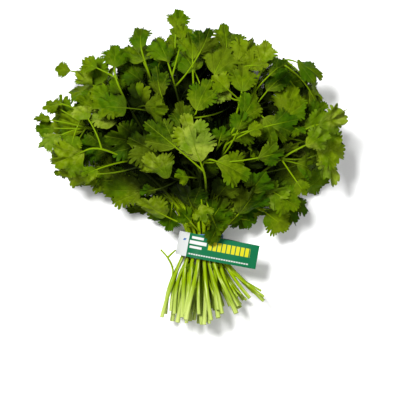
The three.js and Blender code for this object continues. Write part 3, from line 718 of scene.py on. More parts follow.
def grow_between(plan):
    """Adds the smaller leaves to the plan, each where it covers most of what is still bare from above."""
    room = Room()
    for shoot in plan:
        room.add(shoot.index, stem_samples(shoot))
        for leaf in shoot.leaves:
            room.add_leaf(shoot, *leaf_samples(leaf))
    add_placed(plan, room)
    rounds = [([shoot for shoot in plan if shoot.on_top], NEAR_LABEL_LEAF, NEAR_LABEL_KEY, 1)]
    for i in range(BETWEEN_ROUNDS):
        lift = 1 if i < OPEN_ROUNDS else DEEP_LIFT
        rounds.append((plan, BETWEEN_LEAF, BETWEEN_KEY + i * KEY_STEP, lift))
    for shoots, ranges, key, lift in rounds:
        for shoot in shoots:
            room.settle()
            best, best_gain = None, 0
            for attempt in range(BETWEEN_TRIES):
                leaf = side_leaf(shoot, ranges, key, attempt)
                blade, petiole = leaf_samples(leaf)
                gain = room.gain(blade)
                if gain <= best_gain or not room.holds(blade) or not is_under(blade, lift):
                    continue
                if room.is_clear(shoot, (blade, petiole)):
                    best, best_gain = (leaf, blade, petiole), gain
            if best is not None:
                shoot.leaves.append(best[0])
                room.add_leaf(shoot, *best[1:])
    return plan


# ---- Materials ----------------------------------------------------------------------------------


def sum_of_two(operation, turned_round=False):
    """A method that adds a Math node on two values."""
    def method(self, other):
        return self.math(operation, *((other, self) if turned_round else (self, other)))
    return method


class Value:
    """A socket's value in a material, on which sums can be written as on a number."""

    __add__, __radd__ = sum_of_two("ADD"), sum_of_two("ADD", True)
    __sub__, __rsub__ = sum_of_two("SUBTRACT"), sum_of_two("SUBTRACT", True)
    __mul__, __rmul__ = sum_of_two("MULTIPLY"), sum_of_two("MULTIPLY", True)
    __truediv__, __pow__ = sum_of_two("DIVIDE"), sum_of_two("POWER")
    most, least = sum_of_two("MAXIMUM"), sum_of_two("MINIMUM")

    def __init__(self, finish, socket):
        self.finish, self.socket = finish, socket

    def math(self, operation, *values, clamp=False):
        return self.finish.node("ShaderNodeMath", {"operation": operation, "use_clamp": clamp}, values)

    def __abs__(self):
        return self.math("ABSOLUTE", self)

    def sine(self):
        return self.math("SINE", self)

    def fraction(self):
        return self.math("FRACT", self)

    def clamped(self):
        return self.math("ADD", self, 0, clamp=True)

    def below(self, edge, blur):
        """1 where the value is below the edge and 0 above it, with a soft step between."""
        settings = {"interpolation_type": "SMOOTHSTEP"}
        return self.finish.node("ShaderNodeMapRange", settings, (self, edge - blur, edge + blur, 1, 0))

    def above(self, edge, blur):
        return 1 - self.below(edge, blur)

    def ramp(self, stops):
        """A colour along the value, from (place, colour) stops."""
        return self.finish.node("ShaderNodeValToRGB", {"stops": stops}, (self,))


class Finish:
    """A material in the making: one principled shader and the nodes that feed it."""

    def __init__(self, name, **shader):
        self.material = bpy.data.materials.new(name)
        self.material.use_nodes = True
        self.tree = self.material.node_tree
        self.shader = self.tree.nodes["Principled BSDF"]
        for key, value in shader.items():
            self.shader.inputs[key.replace("_", " ")].default_value = value

    def node(self, kind, settings=None, inputs=(), output=0):
        """Adds a node, with its settings set first, then its inputs by number or by name."""
        made = self.tree.nodes.new(kind)
        for name, value in (settings or {}).items():
            if name == "stops":
                self.set_stops(made.color_ramp, value)
            else:
                setattr(made, name, value)
        pairs = inputs.items() if isinstance(inputs, dict) else enumerate(inputs)
        for key, value in pairs:
            if isinstance(value, Value):
                self.tree.links.new(value.socket, made.inputs[key])
            else:
                made.inputs[key].default_value = value
        return Value(self, made.outputs[output])

    @staticmethod
    def set_stops(color_ramp, stops):
        while len(color_ramp.elements) < len(stops):
            color_ramp.elements.new(0.5)
        for element, (place, colour) in zip(color_ramp.elements, stops):
            element.position, element.color = place, (*colour, 1)

    def attribute(self, name):
        return self.node("ShaderNodeAttribute", {"attribute_name": name}, output="Fac")

    def place(self):
        return self.node("ShaderNodeTexCoord", output="Object")

    def flat(self):
        """Where a point is on the piece's own flat plan."""
        return self.node("ShaderNodeTexCoord", output="UV")

    def axes(self, vector):
        split = self.node("ShaderNodeSeparateXYZ", inputs=(vector,)).socket.node
        return [Value(self, socket) for socket in split.outputs]

    def noise(self, scale, detail=3.0, vector=None):
        inputs = {"Vector": vector or self.place(), "Scale": scale, "Detail": detail}
        return self.node("ShaderNodeTexNoise", inputs=inputs)

    def vectors(self, operation, *values):
        return self.node("ShaderNodeVectorMath", {"operation": operation}, values)

    def mix(self, factor, a, b):
        """A colour between two, each a node's or one of (r, g, b)."""
        a, b = (value if isinstance(value, Value) else (*value, 1) for value in (a, b))
        mixed = {"data_type": "RGBA", "clamp_factor": True}
        return self.node("ShaderNodeMix", mixed, {0: factor, 6: a, 7: b}, output=2)

    def feed(self, name, value):
        self.tree.links.new(value.socket, self.shader.inputs[name])

    def bump(self, height, distance, strength=1.0):
        values = {"Height": height, "Distance": distance, "Strength": strength}
        self.feed("Normal", self.node("ShaderNodeBump", inputs=values))

    def let_through(self, share, colour):
        """Lets a share of the light through, as a thin leaf does."""
        glow = self.node("ShaderNodeBsdfTranslucent", inputs={"Color": (*colour, 1)})
        both = self.node("ShaderNodeMixShader", inputs=(share, Value(self, self.shader.outputs[0]), glow))
        self.tree.links.new(both.socket, self.tree.nodes["Material Output"].inputs["Surface"])


def srgb(*colour):
    """A colour given as it looks, 0 to 255, as the linear numbers that a shader takes."""
    shares = (c / 255 for c in colour)
    return tuple(c / 12.92 if c <= 0.04045 else ((c + 0.055) / 1.055) ** 2.4 for c in shares)


# Where the main veins run from a blade's base: degrees off its rib.
VEIN_STEP = 27
MAIN_VEINS = (0, VEIN_STEP, -VEIN_STEP, 2 * VEIN_STEP, -2 * VEIN_STEP)
VEIN_HALF, VEIN_BRANCH = 0.009, 0.8  # half a vein's width, in leaf lengths, and a branch's strength
SIDE_VEINS, SIDE_VEIN, SIDE_REACH = 8, 0.45, 0.09  # how many along each, how strong, and how far out they run


def vein_lines(finish, along, across):
    """How much of a vein there is at a point of a blade, from 0 to 1."""
    uneven = finish.noise(130, 2) * 0.05
    reach = (along * along + across * across) ** 0.5
    turn = finish.node("ShaderNodeMath", {"operation": "ARCTAN2"}, (across, along))
    lines, nearest = None, None
    for angle in MAIN_VEINS:
        away = abs(reach * (turn - math.radians(angle)).sine())
        line = away.below(VEIN_HALF, VEIN_HALF) * (1 if angle == 0 else VEIN_BRANCH)
        lines = line.most(lines) if lines else line
        nearest = away.least(nearest) if nearest else away
    chevrons = ((reach + uneven - nearest * (1.5 - nearest * 3)) * SIDE_VEINS).fraction()
    side = abs(chevrons - 0.5).below(0.06, 0.06) * nearest.below(SIDE_REACH, 0.05) * SIDE_VEIN
    return lines.most(side)


# The painted shade inside the head ends at this share of its half size, with a blur and unevenly. Before a y
# in metres it ends sooner, by so much for each metre towards the tie.
DEEP_TO, DEEP_BLUR, DEEP_UNEVEN = 0.72, 0.11, 0.3
TIE_LIGHT = (0.055, 6)


def inside_head(finish):
    """How deep inside the head a point is, from 0 near its outside to 1: where leaves and stems get painted
    shade.
    """
    x, y, z = finish.axes(finish.place())
    across, along = in_head(x / MM, y / MM)
    high = (z / MM - HEAD_MID_HEIGHT) / HEAD_HALF_DEPTH
    out = (across * across + along * along + high * high) ** 0.5
    near_tie = ((TIE_LIGHT[0] - y) * TIE_LIGHT[1]).clamped()
    return (out + near_tie + (finish.noise(45, 2) - 0.5) * DEEP_UNEVEN).below(DEEP_TO, DEEP_BLUR)


def leaf_finish(look):
    """A thin, dull leaf: old to young in colour, mottled, veined, with a painted sheen in its palest tone and
    its greyer patches, and painted shade deep inside the head.
    """
    finish = Finish("leaf", Roughness=0.5, Specular_IOR_Level=0.014)
    along, across = finish.axes(finish.flat())[:2]
    young = finish.attribute("young")
    mottle, grain, kind = finish.noise(60, 4), finish.noise(230, 3), finish.noise(26, 1)
    # The palest tone is partly a painted sheen on the brightest leaves.
    stops = ((0, look.dark_leaf), (0.38, look.leaf), (0.75, look.bright_leaf), (1, look.pale_leaf_and_sheen))
    upper = (young + (mottle - 0.5) * 0.35 + (grain - 0.5) * 0.75).ramp(stops)
    veins = vein_lines(finish, along, across)
    from_base = (along * along + across * across) ** 0.5
    colour = finish.mix(veins * 0.5, upper, look.vein)
    colour = finish.mix(from_base.below(0.22, 0.22) * 0.3, colour, look.vein)
    colour = finish.mix(finish.attribute("under") * 0.55, colour, look.underside)
    # Greyer patches: partly the leaves' own bloom, partly a painted sheen.
    colour = finish.mix(kind.above(0.6, 0.05) * look.patches, colour, look.dull_leaf_and_sheen)
    colour = finish.mix(kind.below(0.44, 0.05) * look.patches, colour, look.cool_leaf)
    # Painted shade: leaves darken towards the deep inside of the head, and let less light through there.
    deep = inside_head(finish)
    finish.feed("Base Color", finish.mix(deep * look.depth, colour, look.painted_shade))
    finish.feed("Roughness", 0.42 + mottle * 0.2)
    finish.bump(grain * 1.5 - veins * 0.5, 0.001, 0.9)
    finish.let_through((1 - deep) * look.let_through, look.glow)
    return finish.material


STEM_SPAN = 0.15  # how long the stems' colours run, half of it on each side of the tie, in metres
STREAKED_TO = (-0.012, 0.012)  # the y up to which stems are streaked, and its blur, in metres


def stem_finish(look):
    """A juicy stem: paler towards its cut end, and streaked below the tie, partly with a painted highlight on
    its ridges and painted shade between them. It has painted shade deep inside the head.
    """
    finish = Finish("stem", Roughness=0.5, Specular_IOR_Level=0.03)
    y = finish.axes(finish.place())[1]
    young = finish.attribute("young")
    along_it = finish.vectors("MULTIPLY", finish.flat(), (9, 7, 1))
    streaks = finish.noise(1, 3, finish.vectors("ADD", along_it, young * 40))
    stops = ((0.02, look.butt), (0.27, look.low_stem), (0.62, look.stem), (1, look.high_stem))
    colour = (y / STEM_SPAN + 0.5 + (finish.noise(9, 2) - 0.5) * 0.25).ramp(stops)
    low = y.below(*STREAKED_TO)
    # The streaks below the tie are partly painted: the pale ones a painted highlight along the ridges, the
    # dark ones painted shade between them.
    pale = (streaks - 0.57) * 8 + (young - 0.5) * 0.4
    colour = finish.mix(pale * low, colour, look.pale_streak_and_highlight)
    colour = finish.mix((0.46 - streaks) * 5 * low, colour, look.stem_shade)
    # Painted shade: stems darken deep inside the head.
    finish.feed("Base Color", finish.mix(inside_head(finish) * look.depth, colour, look.painted_shade))
    finish.bump(streaks, 0.0002, 0.5)
    return finish.material


def rubber_finish(look):
    """Matt rubber with paler, dusty spots."""
    finish = Finish("band_rubber", Roughness=0.55)
    worn = finish.noise(240, 4)
    finish.feed("Base Color", finish.mix(worn * 0.6, look.colour, look.worn))
    finish.bump(finish.noise(900, 2), 0.0002, 0.4)
    return finish.material


# The label's print: boxes of left, right, top and bottom in millimetres from its printed face's corner.
WRAP_START = 64.4  # from the flag's end to where the print starts
BLOCK_ROW = (19, 57, 4.4, 12.3)
BLOCK_STEP, BLOCK_SHARE = 4.2, 0.78
WHITE_RULES = ((2.8, 13.9, 2.4, 4.6), (1.2, 17.2, 6.3, 9.4), (2, 13.4, 11.1, 13.2))
THIN_RULE = (1.6, 57.5, 17.9, 19.1)
DASH_STEP, DASH_SHARE = 2.3, 0.78
WRAP_DASH, DASH_SLANT = (-1, 2, 5.6, 7.4), 0.8


def box_mask(across, down, left, right, top, bottom, blur=0.12):
    """1 inside a box on the label's flat plan."""
    inside = across.above(left, blur) * across.below(right, blur)
    return inside * down.above(top, blur) * down.below(bottom, blur)


def label_finish(look):
    """The print: green paper with a row of yellow blocks, short white rules, a thin broken rule and a white
    wrap with a blue dash."""
    finish = Finish("label_paper", Roughness=0.4, Specular_IOR_Level=0.12)
    u, v = finish.axes(finish.flat())[:2]
    across = WRAP_START - u * STRIP_LENGTH
    down = LABEL_WIDTH - v * LABEL_WIDTH
    colour = finish.mix(finish.noise(45, 3) * 0.8, look.paper, look.paper_shade)
    blocks = ((across - BLOCK_ROW[0]) / BLOCK_STEP).fraction().below(BLOCK_SHARE, 0.03)
    colour = finish.mix(blocks * box_mask(across, down, *BLOCK_ROW), colour, look.yellow)
    for rule in WHITE_RULES:
        colour = finish.mix(box_mask(across, down, *rule), colour, look.white)
    dashes = (across / DASH_STEP).fraction().below(DASH_SHARE, 0.06)
    colour = finish.mix(dashes * box_mask(across, down, *THIN_RULE) * 0.85, colour, look.white)
    colour = finish.mix(across.below(0, 0.15), colour, look.wrap)
    colour = finish.mix(box_mask(across + down * DASH_SLANT, down, *WRAP_DASH), colour, look.blue)
    finish.feed("Base Color", colour)
    finish.bump(finish.noise(120, 3), 0.0004, 0.25)
    return finish.material


# ---- Making meshes ------------------------------------------------------------------------------


def deselect():
    for thing in bpy.context.selected_objects:
        thing.select_set(False)


def activate(thing):
    """Selects one thing alone and makes it the active one."""
    deselect()
    thing.select_set(True)
    bpy.context.view_layer.objects.active = thing


def added(operator, name, **settings):
    """What an operator adds, with nothing else selected."""
    deselect()
    operator(**settings)
    thing = bpy.context.active_object
    thing.name = thing.data.name = name
    return thing


def in_edit_mode(operator, **settings):
    """Runs an operator on the whole of the active mesh."""
    bpy.ops.object.mode_set(mode="EDIT")
    bpy.ops.mesh.select_all(action="SELECT")
    operator(**settings)
    bpy.ops.object.mode_set(mode="OBJECT")


def finish_piece(piece, slot, *nodes):
    """Hangs a piece under the root and hides the solids that it stands for. The slot it is given is not used.
    """
    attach(piece, "root")
    if nodes:
        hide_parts(*nodes)


def tubes(name, runs, sides_step, material, cyclic=False):
    """One mesh of round tubes, each a run of points and of radii at them, in millimetres."""
    piece = added(bpy.ops.curve.primitive_nurbs_path_add, name)
    curve = piece.data
    curve.splines.clear()
    curve.bevel_depth, curve.bevel_resolution = MM, sides_step
    curve.use_fill_caps = True
    for points, radii in runs:
        spline = curve.splines.new("POLY")
        spline.points.add(len(points) - 1)
        write(spline.points, "co", np.column_stack((np.array(points) * MM, np.ones(len(points)))))
        write(spline.points, "radius", radii)
        spline.use_cyclic_u = cyclic
    bpy.ops.object.convert(target="MESH")
    in_edit_mode(bpy.ops.mesh.remove_doubles, threshold=0.00001)
    bpy.ops.object.shade_smooth_by_angle(angle=math.radians(50))
    piece.data.materials.append(material)
    return piece


# ---- Leaves -------------------------------------------------------------------------------------

# A fine leaf's teeth round one half of its middle, from beside its tip to one side of its base: degrees off
# the rib, and share of its length. Each notch comes before its tooth, and the last after them all. The first
# deep notch parts two lobes.
TEETH = (
    (11, 0.555), (21, 0.53), (42, 0.455), (51.5, 0.52), (62, 0.545), (73.5, 0.575), (87, 0.54), (101, 0.48),
    (115, 0.415),
)
NOTCHES = (
    (5.5, 0.52), (16, 0.475), (31, 0.27), (46.5, 0.42), (56.5, 0.44), (67.5, 0.46), (80, 0.44), (94, 0.42),
    (108, 0.375), (125, 0.345),
)
DEEP_NOTCH, LOBE_NOTCH = 2, 6
NOTCH_DEPTH, LOBE_DEPTH = (0.75, 1.3), (0.72, 1)
NOTCH_FROM, FILLED_NOTCH = 0.5, 0.47  # where notches are measured from, and the deep one where it is filled
TOOTH_RISE, TOOTH_FALL = (0.42, 0.82), (0.58, 0.18)  # its two shoulders: how far along to it, and how high
OPEN_RISE, OPEN_FALL = (0.72, 0.78), (0.3, 0.26)  # the same on the two sides of the deep notch, which is open
TOOTH_TURN, TOOTH_LENGTH = 1.2, (0.94, 1.05)
TIP_SHOULDER = (2.6, TIP_SHARE - 0.008)
WHOLENESS = (0, 0, 0.35)  # one of these is how far a leaf's deep notches are filled
ROUNDNESS = 1.6  # the higher, the fewer leaves have a round base
BASE = ((136, 0.335), (148, 0.345), (160, 0.365), (172, 0.4))
ROUND_BASE = (0.45, 0.47, 0.463, 0.443, 0.415)  # the last notch and the base of a leaf with a round base
ROUNDER_SIDE = (0.01, 0.03, 0.07)  # how much further out the last teeth are on such a leaf
ROUND_STEPS = 2 * (1 + 4 * len(TEETH) + 1 + len(BASE)) + 2
OUT_SHARES = np.array((0, 0.36, 0.66, 0.87, 1.0))
OUT_STEPS = len(OUT_SHARES) - 1
SMOOTH_EDGE = np.array((1, 2, 3, 3, 3, 2, 1)) / 15
RIM_BLEND = 4  # how fast a blade's rings take on its teeth towards its edge
THICK = 0.17  # half a blade's thickness at its middle
FOLD_SOFT = 1.2
WAVES, WAVE_HEIGHTS = (2, 3, 5), (0.4, 0.7, 0.45)
PLEAT_REACH, PLEAT_SPREAD = 1.6, (0.4, 1.3)


def blank_leaf(material):
    """A flattened ball whose poles are the middles of a blade's two faces and whose equator is its edge, and
    for each of its vertices the ring and the step round it, and the face on which it is."""
    ball = dict(segments=ROUND_STEPS, ring_count=2 * OUT_STEPS, radius=1)
    blank = added(bpy.ops.mesh.primitive_uv_sphere_add, "leaf_blank", **ball)
    mesh = blank.data
    mesh.shade_smooth()
    mesh.materials.append(material)
    for name in ("young", "under"):
        mesh.attributes.new(name, "FLOAT", "POINT")
    x, y, z = read(mesh.vertices, "co", 3).T
    ring = np.rint(np.arccos(np.clip(z, -1, 1)) / (math.pi / (2 * OUT_STEPS))).astype(int)
    places = SimpleNamespace(
        out=np.minimum(ring, 2 * OUT_STEPS - ring),
        turn=np.rint(np.arctan2(y, x) / (2 * math.pi / ROUND_STEPS)).astype(int) % ROUND_STEPS,
        side=np.sign(OUT_STEPS - ring),
        corners=read(mesh.loops, "vertex_index", kind=int).ravel(),
    )
    ends = read(mesh.edges, "vertices", 2, int)
    sharp = mesh.attributes.new("sharp_edge", "BOOLEAN", "EDGE")
    sharp.data.foreach_set("value", (places.side == 0)[ends].all(axis=1))
    write(mesh.attributes["under"].data, "value", places.side < 0)
    return blank, places


def half_outline(leaf, random):
    """One half of a toothed edge, as degrees and shares."""
    depth = random.uniform(*NOTCH_DEPTH)
    notches = [(angle, lerp(NOTCH_FROM, share, depth) if share < NOTCH_FROM else share)
               for angle, share in NOTCHES]
    deep = lerp(OUTLINE[CUT_POINT][1] * leaf.cut, FILLED_NOTCH, leaf.whole)
    notches[DEEP_NOTCH] = (NOTCHES[DEEP_NOTCH][0], deep)
    notches[LOBE_NOTCH] = (NOTCHES[LOBE_NOTCH][0], NOTCHES[LOBE_NOTCH][1] * random.uniform(*LOBE_DEPTH))
    further = [0] * (len(TEETH) - len(ROUNDER_SIDE)) + [more * leaf.rounded for more in ROUNDER_SIDE]
    found = [TIP_SHOULDER]
    for i, (angle, tooth) in enumerate(TEETH):
        (before_angle, before), (after_angle, after) = notches[i:i + 2]
        rise = OPEN_RISE if i == DEEP_NOTCH else TOOTH_RISE
        fall = OPEN_FALL if i == DEEP_NOTCH - 1 else TOOTH_FALL
        angle += random.uniform(-TOOTH_TURN, TOOTH_TURN)
        tooth = (tooth + further[i]) * random.uniform(*TOOTH_LENGTH)
        found += [
            (before_angle, before),
            (lerp(before_angle, angle, rise[0]), lerp(before, tooth, rise[1])),
            (angle, tooth),
            (lerp(angle, after_angle, fall[0]), lerp(tooth, after, fall[1])),
        ]
    ends = zip((notches[-1], *BASE), ROUND_BASE)
    return found + [(angle, lerp(share, rounded, leaf.rounded)) for (angle, share), rounded in ends]


def leaf_edge(leaf, random):
    """The whole toothed edge, anticlockwise from its tip, and the smoother line of its inner rings."""
    leaf.whole = random.choice(WHOLENESS)
    leaf.rounded = random.uniform(0, 1) ** ROUNDNESS
    left, right = half_outline(leaf, random), half_outline(leaf, random)
    right = [(-angle, share) for angle, share in reversed(right)]
    edge = [(0, TIP_SHARE), *left, (180, BLADE_MIDDLE), *right]
    angles, shares = (np.array(values, float) for values in zip(*edge))
    around = len(SMOOTH_EDGE) // 2
    wrapped = np.concatenate((shares[-around:], shares, shares[:around]))
    return angles, shares, np.convolve(wrapped, SMOOTH_EDGE, mode="valid")


def grow_leaf(blank, places, leaf, index, look):
    """A copy of the blank leaf, shaped along one leaf of the plan."""
    random = np.random.default_rng((SEED, index, leaf.key))
    angles, shares, inner = leaf_edge(leaf, random)
    out, angle = OUT_SHARES[places.out], angles[places.turn]
    share = out * lerp(inner[places.turn], shares[places.turn], out**RIM_BLEND)
    s, w = on_blade(leaf, angle, share)
    waves = np.radians(angle)[:, None] * WAVES + random.uniform(0, 2 * math.pi, len(WAVES))
    ripple = (np.sin(waves) * WAVE_HEIGHTS).sum(axis=1) * out**2 * leaf.size * look.ripple
    from_base = np.degrees(np.arctan2(w, s - leaf.petiole + 0.001))
    far = np.hypot(w, s - leaf.petiole) / leaf.size
    pleats = -np.cos(np.radians(from_base * 360 / VEIN_STEP)) * np.clip(far * PLEAT_REACH, 0, 1) ** 2
    ripple += pleats * leaf.size * look.pleat * random.uniform(*PLEAT_SPREAD)
    thick = places.side * THICK * np.sqrt(1 - out**2)
    grown = blank.copy()
    mesh = grown.data = blank.data.copy()
    bpy.context.collection.objects.link(grown)
    write(mesh.vertices, "co", leaf_points(leaf, s, w, thick, ripple, FOLD_SOFT) * MM)
    flat = np.column_stack(((s - leaf.petiole) / leaf.size, w / leaf.size))
    write(mesh.uv_layers[0].data, "uv", flat[places.corners])
    write(mesh.attributes["young"].data, "value", np.full(len(share), leaf.young))
    return grown


PETIOLE_THICKNESS = ((0, 0.2, 1), (1.05, 0.72, 0.58))  # its radius at shares of the way to its blade
RIB_THICKNESS, RIB_SINK = 0.42, -0.1
RIB_FULL, RIB_TAPER, RIB_LEAST = 1.2, 1.7, 0.3  # a rib thins from the first so fast, down to the last
RIB_SHARES = np.array((0.15, 0.35, 0.55))


def petiole_run(shoot, leaf):
    """A petiole from its stem to inside its blade, where it is the rib."""
    s = np.concatenate((np.linspace(0, leaf.petiole, 9), leaf.petiole + leaf.size * RIB_SHARES))
    points = leaf_points(leaf, s, 0 * s, RIB_SINK, 0.0, FOLD_SOFT)
    if leaf.key != END_KEY:
        real = on_curve(shoot.upper, leaf.share)[0]
        points += np.outer(np.clip(1 - s / leaf.petiole, 0, 1) ** 2, real - leaf.start)
    on_petiole = np.interp(s / leaf.petiole, *PETIOLE_THICKNESS)
    along_rib = (s - leaf.petiole) / leaf.size
    on_rib = RIB_THICKNESS * np.clip(RIB_FULL - along_rib * RIB_TAPER, RIB_LEAST, 1)
    return points, np.where(s > leaf.petiole, on_rib, on_petiole)


# Parts of the head in full growth: the middle of each (x, y), its half sizes and how young its leaves are.
GROWTH = (
    (-19, 188, 20, 20, 0.75), (47, 177, 18, 13, 0.75), (-94, 147, 26, 26, 0.7), (105, 116, 24, 40, 0.75),
    (-65, 130, 13, 18, 0.75), (-116, 76, 40, 34, 0.75), (-17, 96, 12, 16, 0.95), (88, 43, 26, 24, 0.7),
    (-36, 62, 13, 8, 0.85), (12, 138, 9, 9, 0.8),
)
GROWTH_PULL = 0.75
YOUTH_KEY, YOUTH_MEAN, YOUTH_SPREAD = 7, 0.4, 0.27
HOLLOW_SHADE_YOUTH = 0.02  # how young the leaves over a hollow are made: the darkest tone, painted shade where one looks down into the head


def youth(shoot, leaf):
    """How young a leaf looks: 0 is a dark old one and 1 a pale young one. Over a hollow it is pulled to the
    darkest tone, a painted shade.
    """
    if leaf.key == END_KEY:
        return shoot.young
    if leaf.young is not None:
        return leaf.young
    young = np.random.default_rng((SEED, YOUTH_KEY, shoot.index, leaf.key)).normal(YOUTH_MEAN, YOUTH_SPREAD)
    middle = leaf_points(leaf, np.array([leaf.petiole + leaf.size * BLADE_MIDDLE]), np.zeros(1))
    # Leaves over a hollow are pulled to the darkest tone: painted shade.
    for *ellipse, here in (*GROWTH, *((*hollow, HOLLOW_SHADE_YOUTH) for hollow in HOLLOWS)):
        if is_within(middle, ellipse)[0]:
            young = lerp(young, here, GROWTH_PULL)
    return min(max(young, 0), 1)


# ---- Stems --------------------------------------------------------------------------------------

STEM_STEPS, UPPER_STEPS = 30, 25
FREE_FROM = (-17, 16)  # stems keep their planned way down to this y, and may leave it more and more below it
SWING, SWING_SHARES, SWING_TURNS = 4.5, (0.3, 1), (1.5, 4)
LIFT_SWING, LIFT_TURNS = 0.8, 5
THICKNESS, THICKER_NECK = (0.76, 1.1), 0.15
SETTLE_ROUNDS = 60
STEM_GAP, LEAST_FLOOR_GAP = 0.1, 0.2
PUSH, STRAIGHTEN = 0.3, 0.2  # how much of an overlap, and of a kink, goes in one round

LOOSE_STALKS = 22  # thin ones without leaves, tucked in among the stems under the label
LOOSE_START = -12.5
LOOSE_KEY, SWING_KEY, LOOSE_SWING_KEY = 5, 3, 1000
LOOSE_THICKNESS, LOOSE_PALE = (0.4, 0.66), 0.4
LOOSE_X, LOOSE_Z, LOOSE_OUT, LOOSE_BOW_BACK = (-14, 14), (-12, 7), 1.15, 0.3
LOOSE_SHORTER, LOOSE_STRAY = (1, 12), (-5, 5)


def loose_stalk(number):
    """A loose stalk's curve, from its cut end to its start under the label."""
    random = np.random.default_rng((SEED, LOOSE_KEY, number))
    x, z = random.uniform(*LOOSE_X), random.uniform(*LOOSE_Z)
    side = 0 if x < 0 else 1
    start = vec(x * LOOSE_OUT, LOOSE_START, NECK_HEIGHT + z)
    length = BUTT_LENGTH - BUTT_SLANT[side] * abs(x) - random.uniform(*LOOSE_SHORTER)
    height = BUTT_RADIUS + 1 + (z + NECK_HALF_DEPTH) * BUTT_LIFT
    butt = vec(x * BUTT_FAN[side] + random.uniform(*LOOSE_STRAY), -length, height)
    return bowed(butt, start + vec(x * BOW_FAN[side], -LOOSE_BOW_BACK * length, 0), start)


def lower_runs(shoots):
    """Every stem from its cut end to the tie, swung about a little and then moved apart where they meet. The
    loose stalks come last."""
    steps = np.linspace(0, 1, STEM_STEPS)
    curves = [shoot.lower for shoot in shoots] + [loose_stalk(number) for number in range(LOOSE_STALKS)]
    planned = np.array([[on_curve(curve, t)[0] for t in steps] for curve in curves])
    free = np.clip((FREE_FROM[0] - planned[:, :, 1:2]) / FREE_FROM[1], 0, 1)
    free[len(shoots):] = 1
    radii = np.zeros(planned.shape[:2])
    moved = np.zeros_like(planned)
    for i in range(len(curves)):
        is_loose = i >= len(shoots)
        key = LOOSE_SWING_KEY + i if is_loose else shoots[i].index
        random = np.random.default_rng((SEED, SWING_KEY, key))
        thick = random.uniform(*(LOOSE_THICKNESS if is_loose else THICKNESS))
        radii[i] = lerp(BUTT_RADIUS * thick, NECK_RADIUS * min(1, thick + THICKER_NECK), steps)
        start, turns = random.uniform(0, 2 * math.pi), random.uniform(*SWING_TURNS)
        swing = np.sin((1 - steps) * turns + start) - math.sin(start)
        moved[i, :, 0] = swing * SWING * random.uniform(*SWING_SHARES) * free[i, :, 0]
        moved[i, :, 2] = np.sin((1 - steps) * LIFT_TURNS + turns) * LIFT_SWING * free[i, :, 0]
    move_apart(planned, moved, radii, free)
    return planned + moved, radii


def move_apart(planned, moved, radii, free):
    """Moves stems off each other, a little each round, and keeps each of them smooth and off the floor."""
    apart = ~np.eye(len(planned), dtype=bool)
    for _ in range(SETTLE_ROUNDS):
        runs = planned + moved
        push = np.zeros_like(runs)
        for shift in range(-3, 4):
            near = slice(max(0, -shift), STEM_STEPS - max(0, shift))
            far = slice(max(0, shift), STEM_STEPS - max(0, -shift))
            gap = runs[:, None, near] - runs[None, :, far]
            away = np.linalg.norm(gap, axis=3) + 1e-6
            wanted = radii[:, None, near] + radii[None, :, far] + STEM_GAP
            short = np.maximum(wanted - away, 0) * apart[:, :, None]
            push[:, near] += (gap * (short / away)[..., None]).sum(axis=1) * PUSH
        moved += push * free
        kinks = moved[:, :-2] + moved[:, 2:] - 2 * moved[:, 1:-1]
        moved[:, 1:-1] += kinks * STRAIGHTEN * free[:, 1:-1]
        moved[:, 0] += (2 * moved[:, 1] - moved[:, 2] - moved[:, 0]) * STRAIGHTEN
        moved[:, :, 2] = np.maximum(moved[:, :, 2], radii + LEAST_FLOOR_GAP - planned[:, :, 2])


def stem_run(shoot, lower, lower_radii):
    """A stem from its cut end through the tie to its end leaf."""
    steps = np.linspace(0, 1, UPPER_STEPS + 1)[1:]
    upper = np.array([on_curve(shoot.upper, t)[0] for t in steps])
    radii = np.concatenate((lower_radii, lerp(lower_radii[-1], TIP_RADIUS, steps)))
    points, end_radii = petiole_run(shoot, shoot.leaves[0])
    past = slice(3, None)
    end_radii = np.minimum(end_radii[past], TIP_RADIUS)
    return np.vstack((lower, upper, points[past])), np.concatenate((radii, end_radii))


# ---- The green pieces ---------------------------------------------------------------------------


def leafy(name, runs, paleness, leaves, index, parts):
    """A piece of stems, each a run of points and radii, with leaves on them."""
    piece = tubes(name, runs, 2, parts.stem)
    pale = piece.data.attributes.new("young", "FLOAT", "POINT").data
    write(pale, "value", np.full(len(pale), paleness))
    grown = [grow_leaf(parts.blank, parts.places, leaf, index, parts.look) for leaf in leaves]
    activate(piece)
    for leaf in grown:
        leaf.select_set(True)
    bpy.ops.object.join()
    return piece


def make_shoots(shoots, parts):
    """A piece for each shoot, and one of loose stalks."""
    lower_ways, lower_radii = lower_runs(shoots)
    for shoot, lower, radii in zip(shoots, lower_ways, lower_radii):
        for leaf in shoot.leaves:
            leaf.young = youth(shoot, leaf)
        runs = [stem_run(shoot, lower, radii)] + [petiole_run(shoot, leaf) for leaf in shoot.leaves[1:]]
        paleness = draw(shoot.index, PALE_KEY)
        piece = leafy(f"coriander_{shoot.node}", runs, paleness, shoot.leaves, shoot.index, parts)
        finish_piece(piece, "leaf_green", shoot.node)
        shoot.lower_run = lower
    loose = list(zip(lower_ways[len(shoots):], lower_radii[len(shoots):]))
    finish_piece(leafy("coriander_loose_stalks", loose, LOOSE_PALE, [], 0, parts), "leaf_green")


def smooth_run(points, steps=14):
    """A smooth run through a few points."""
    points = np.array(points, float)
    ahead = np.vstack((2 * points[0] - points[1], points, 2 * points[-1] - points[-2]))
    found = []
    for place in np.linspace(0, len(points) - 1, steps):
        i = min(int(place), len(points) - 2)
        t = place - i
        a, b, c, d = ahead[i:i + 4]
        rise, bend, twist = c - a, 2 * a - 5 * b + 4 * c - d, 3 * b - a - 3 * c + d
        found.append(0.5 * (2 * b + rise * t + bend * t * t + twist * t**3))
    return np.array(found)


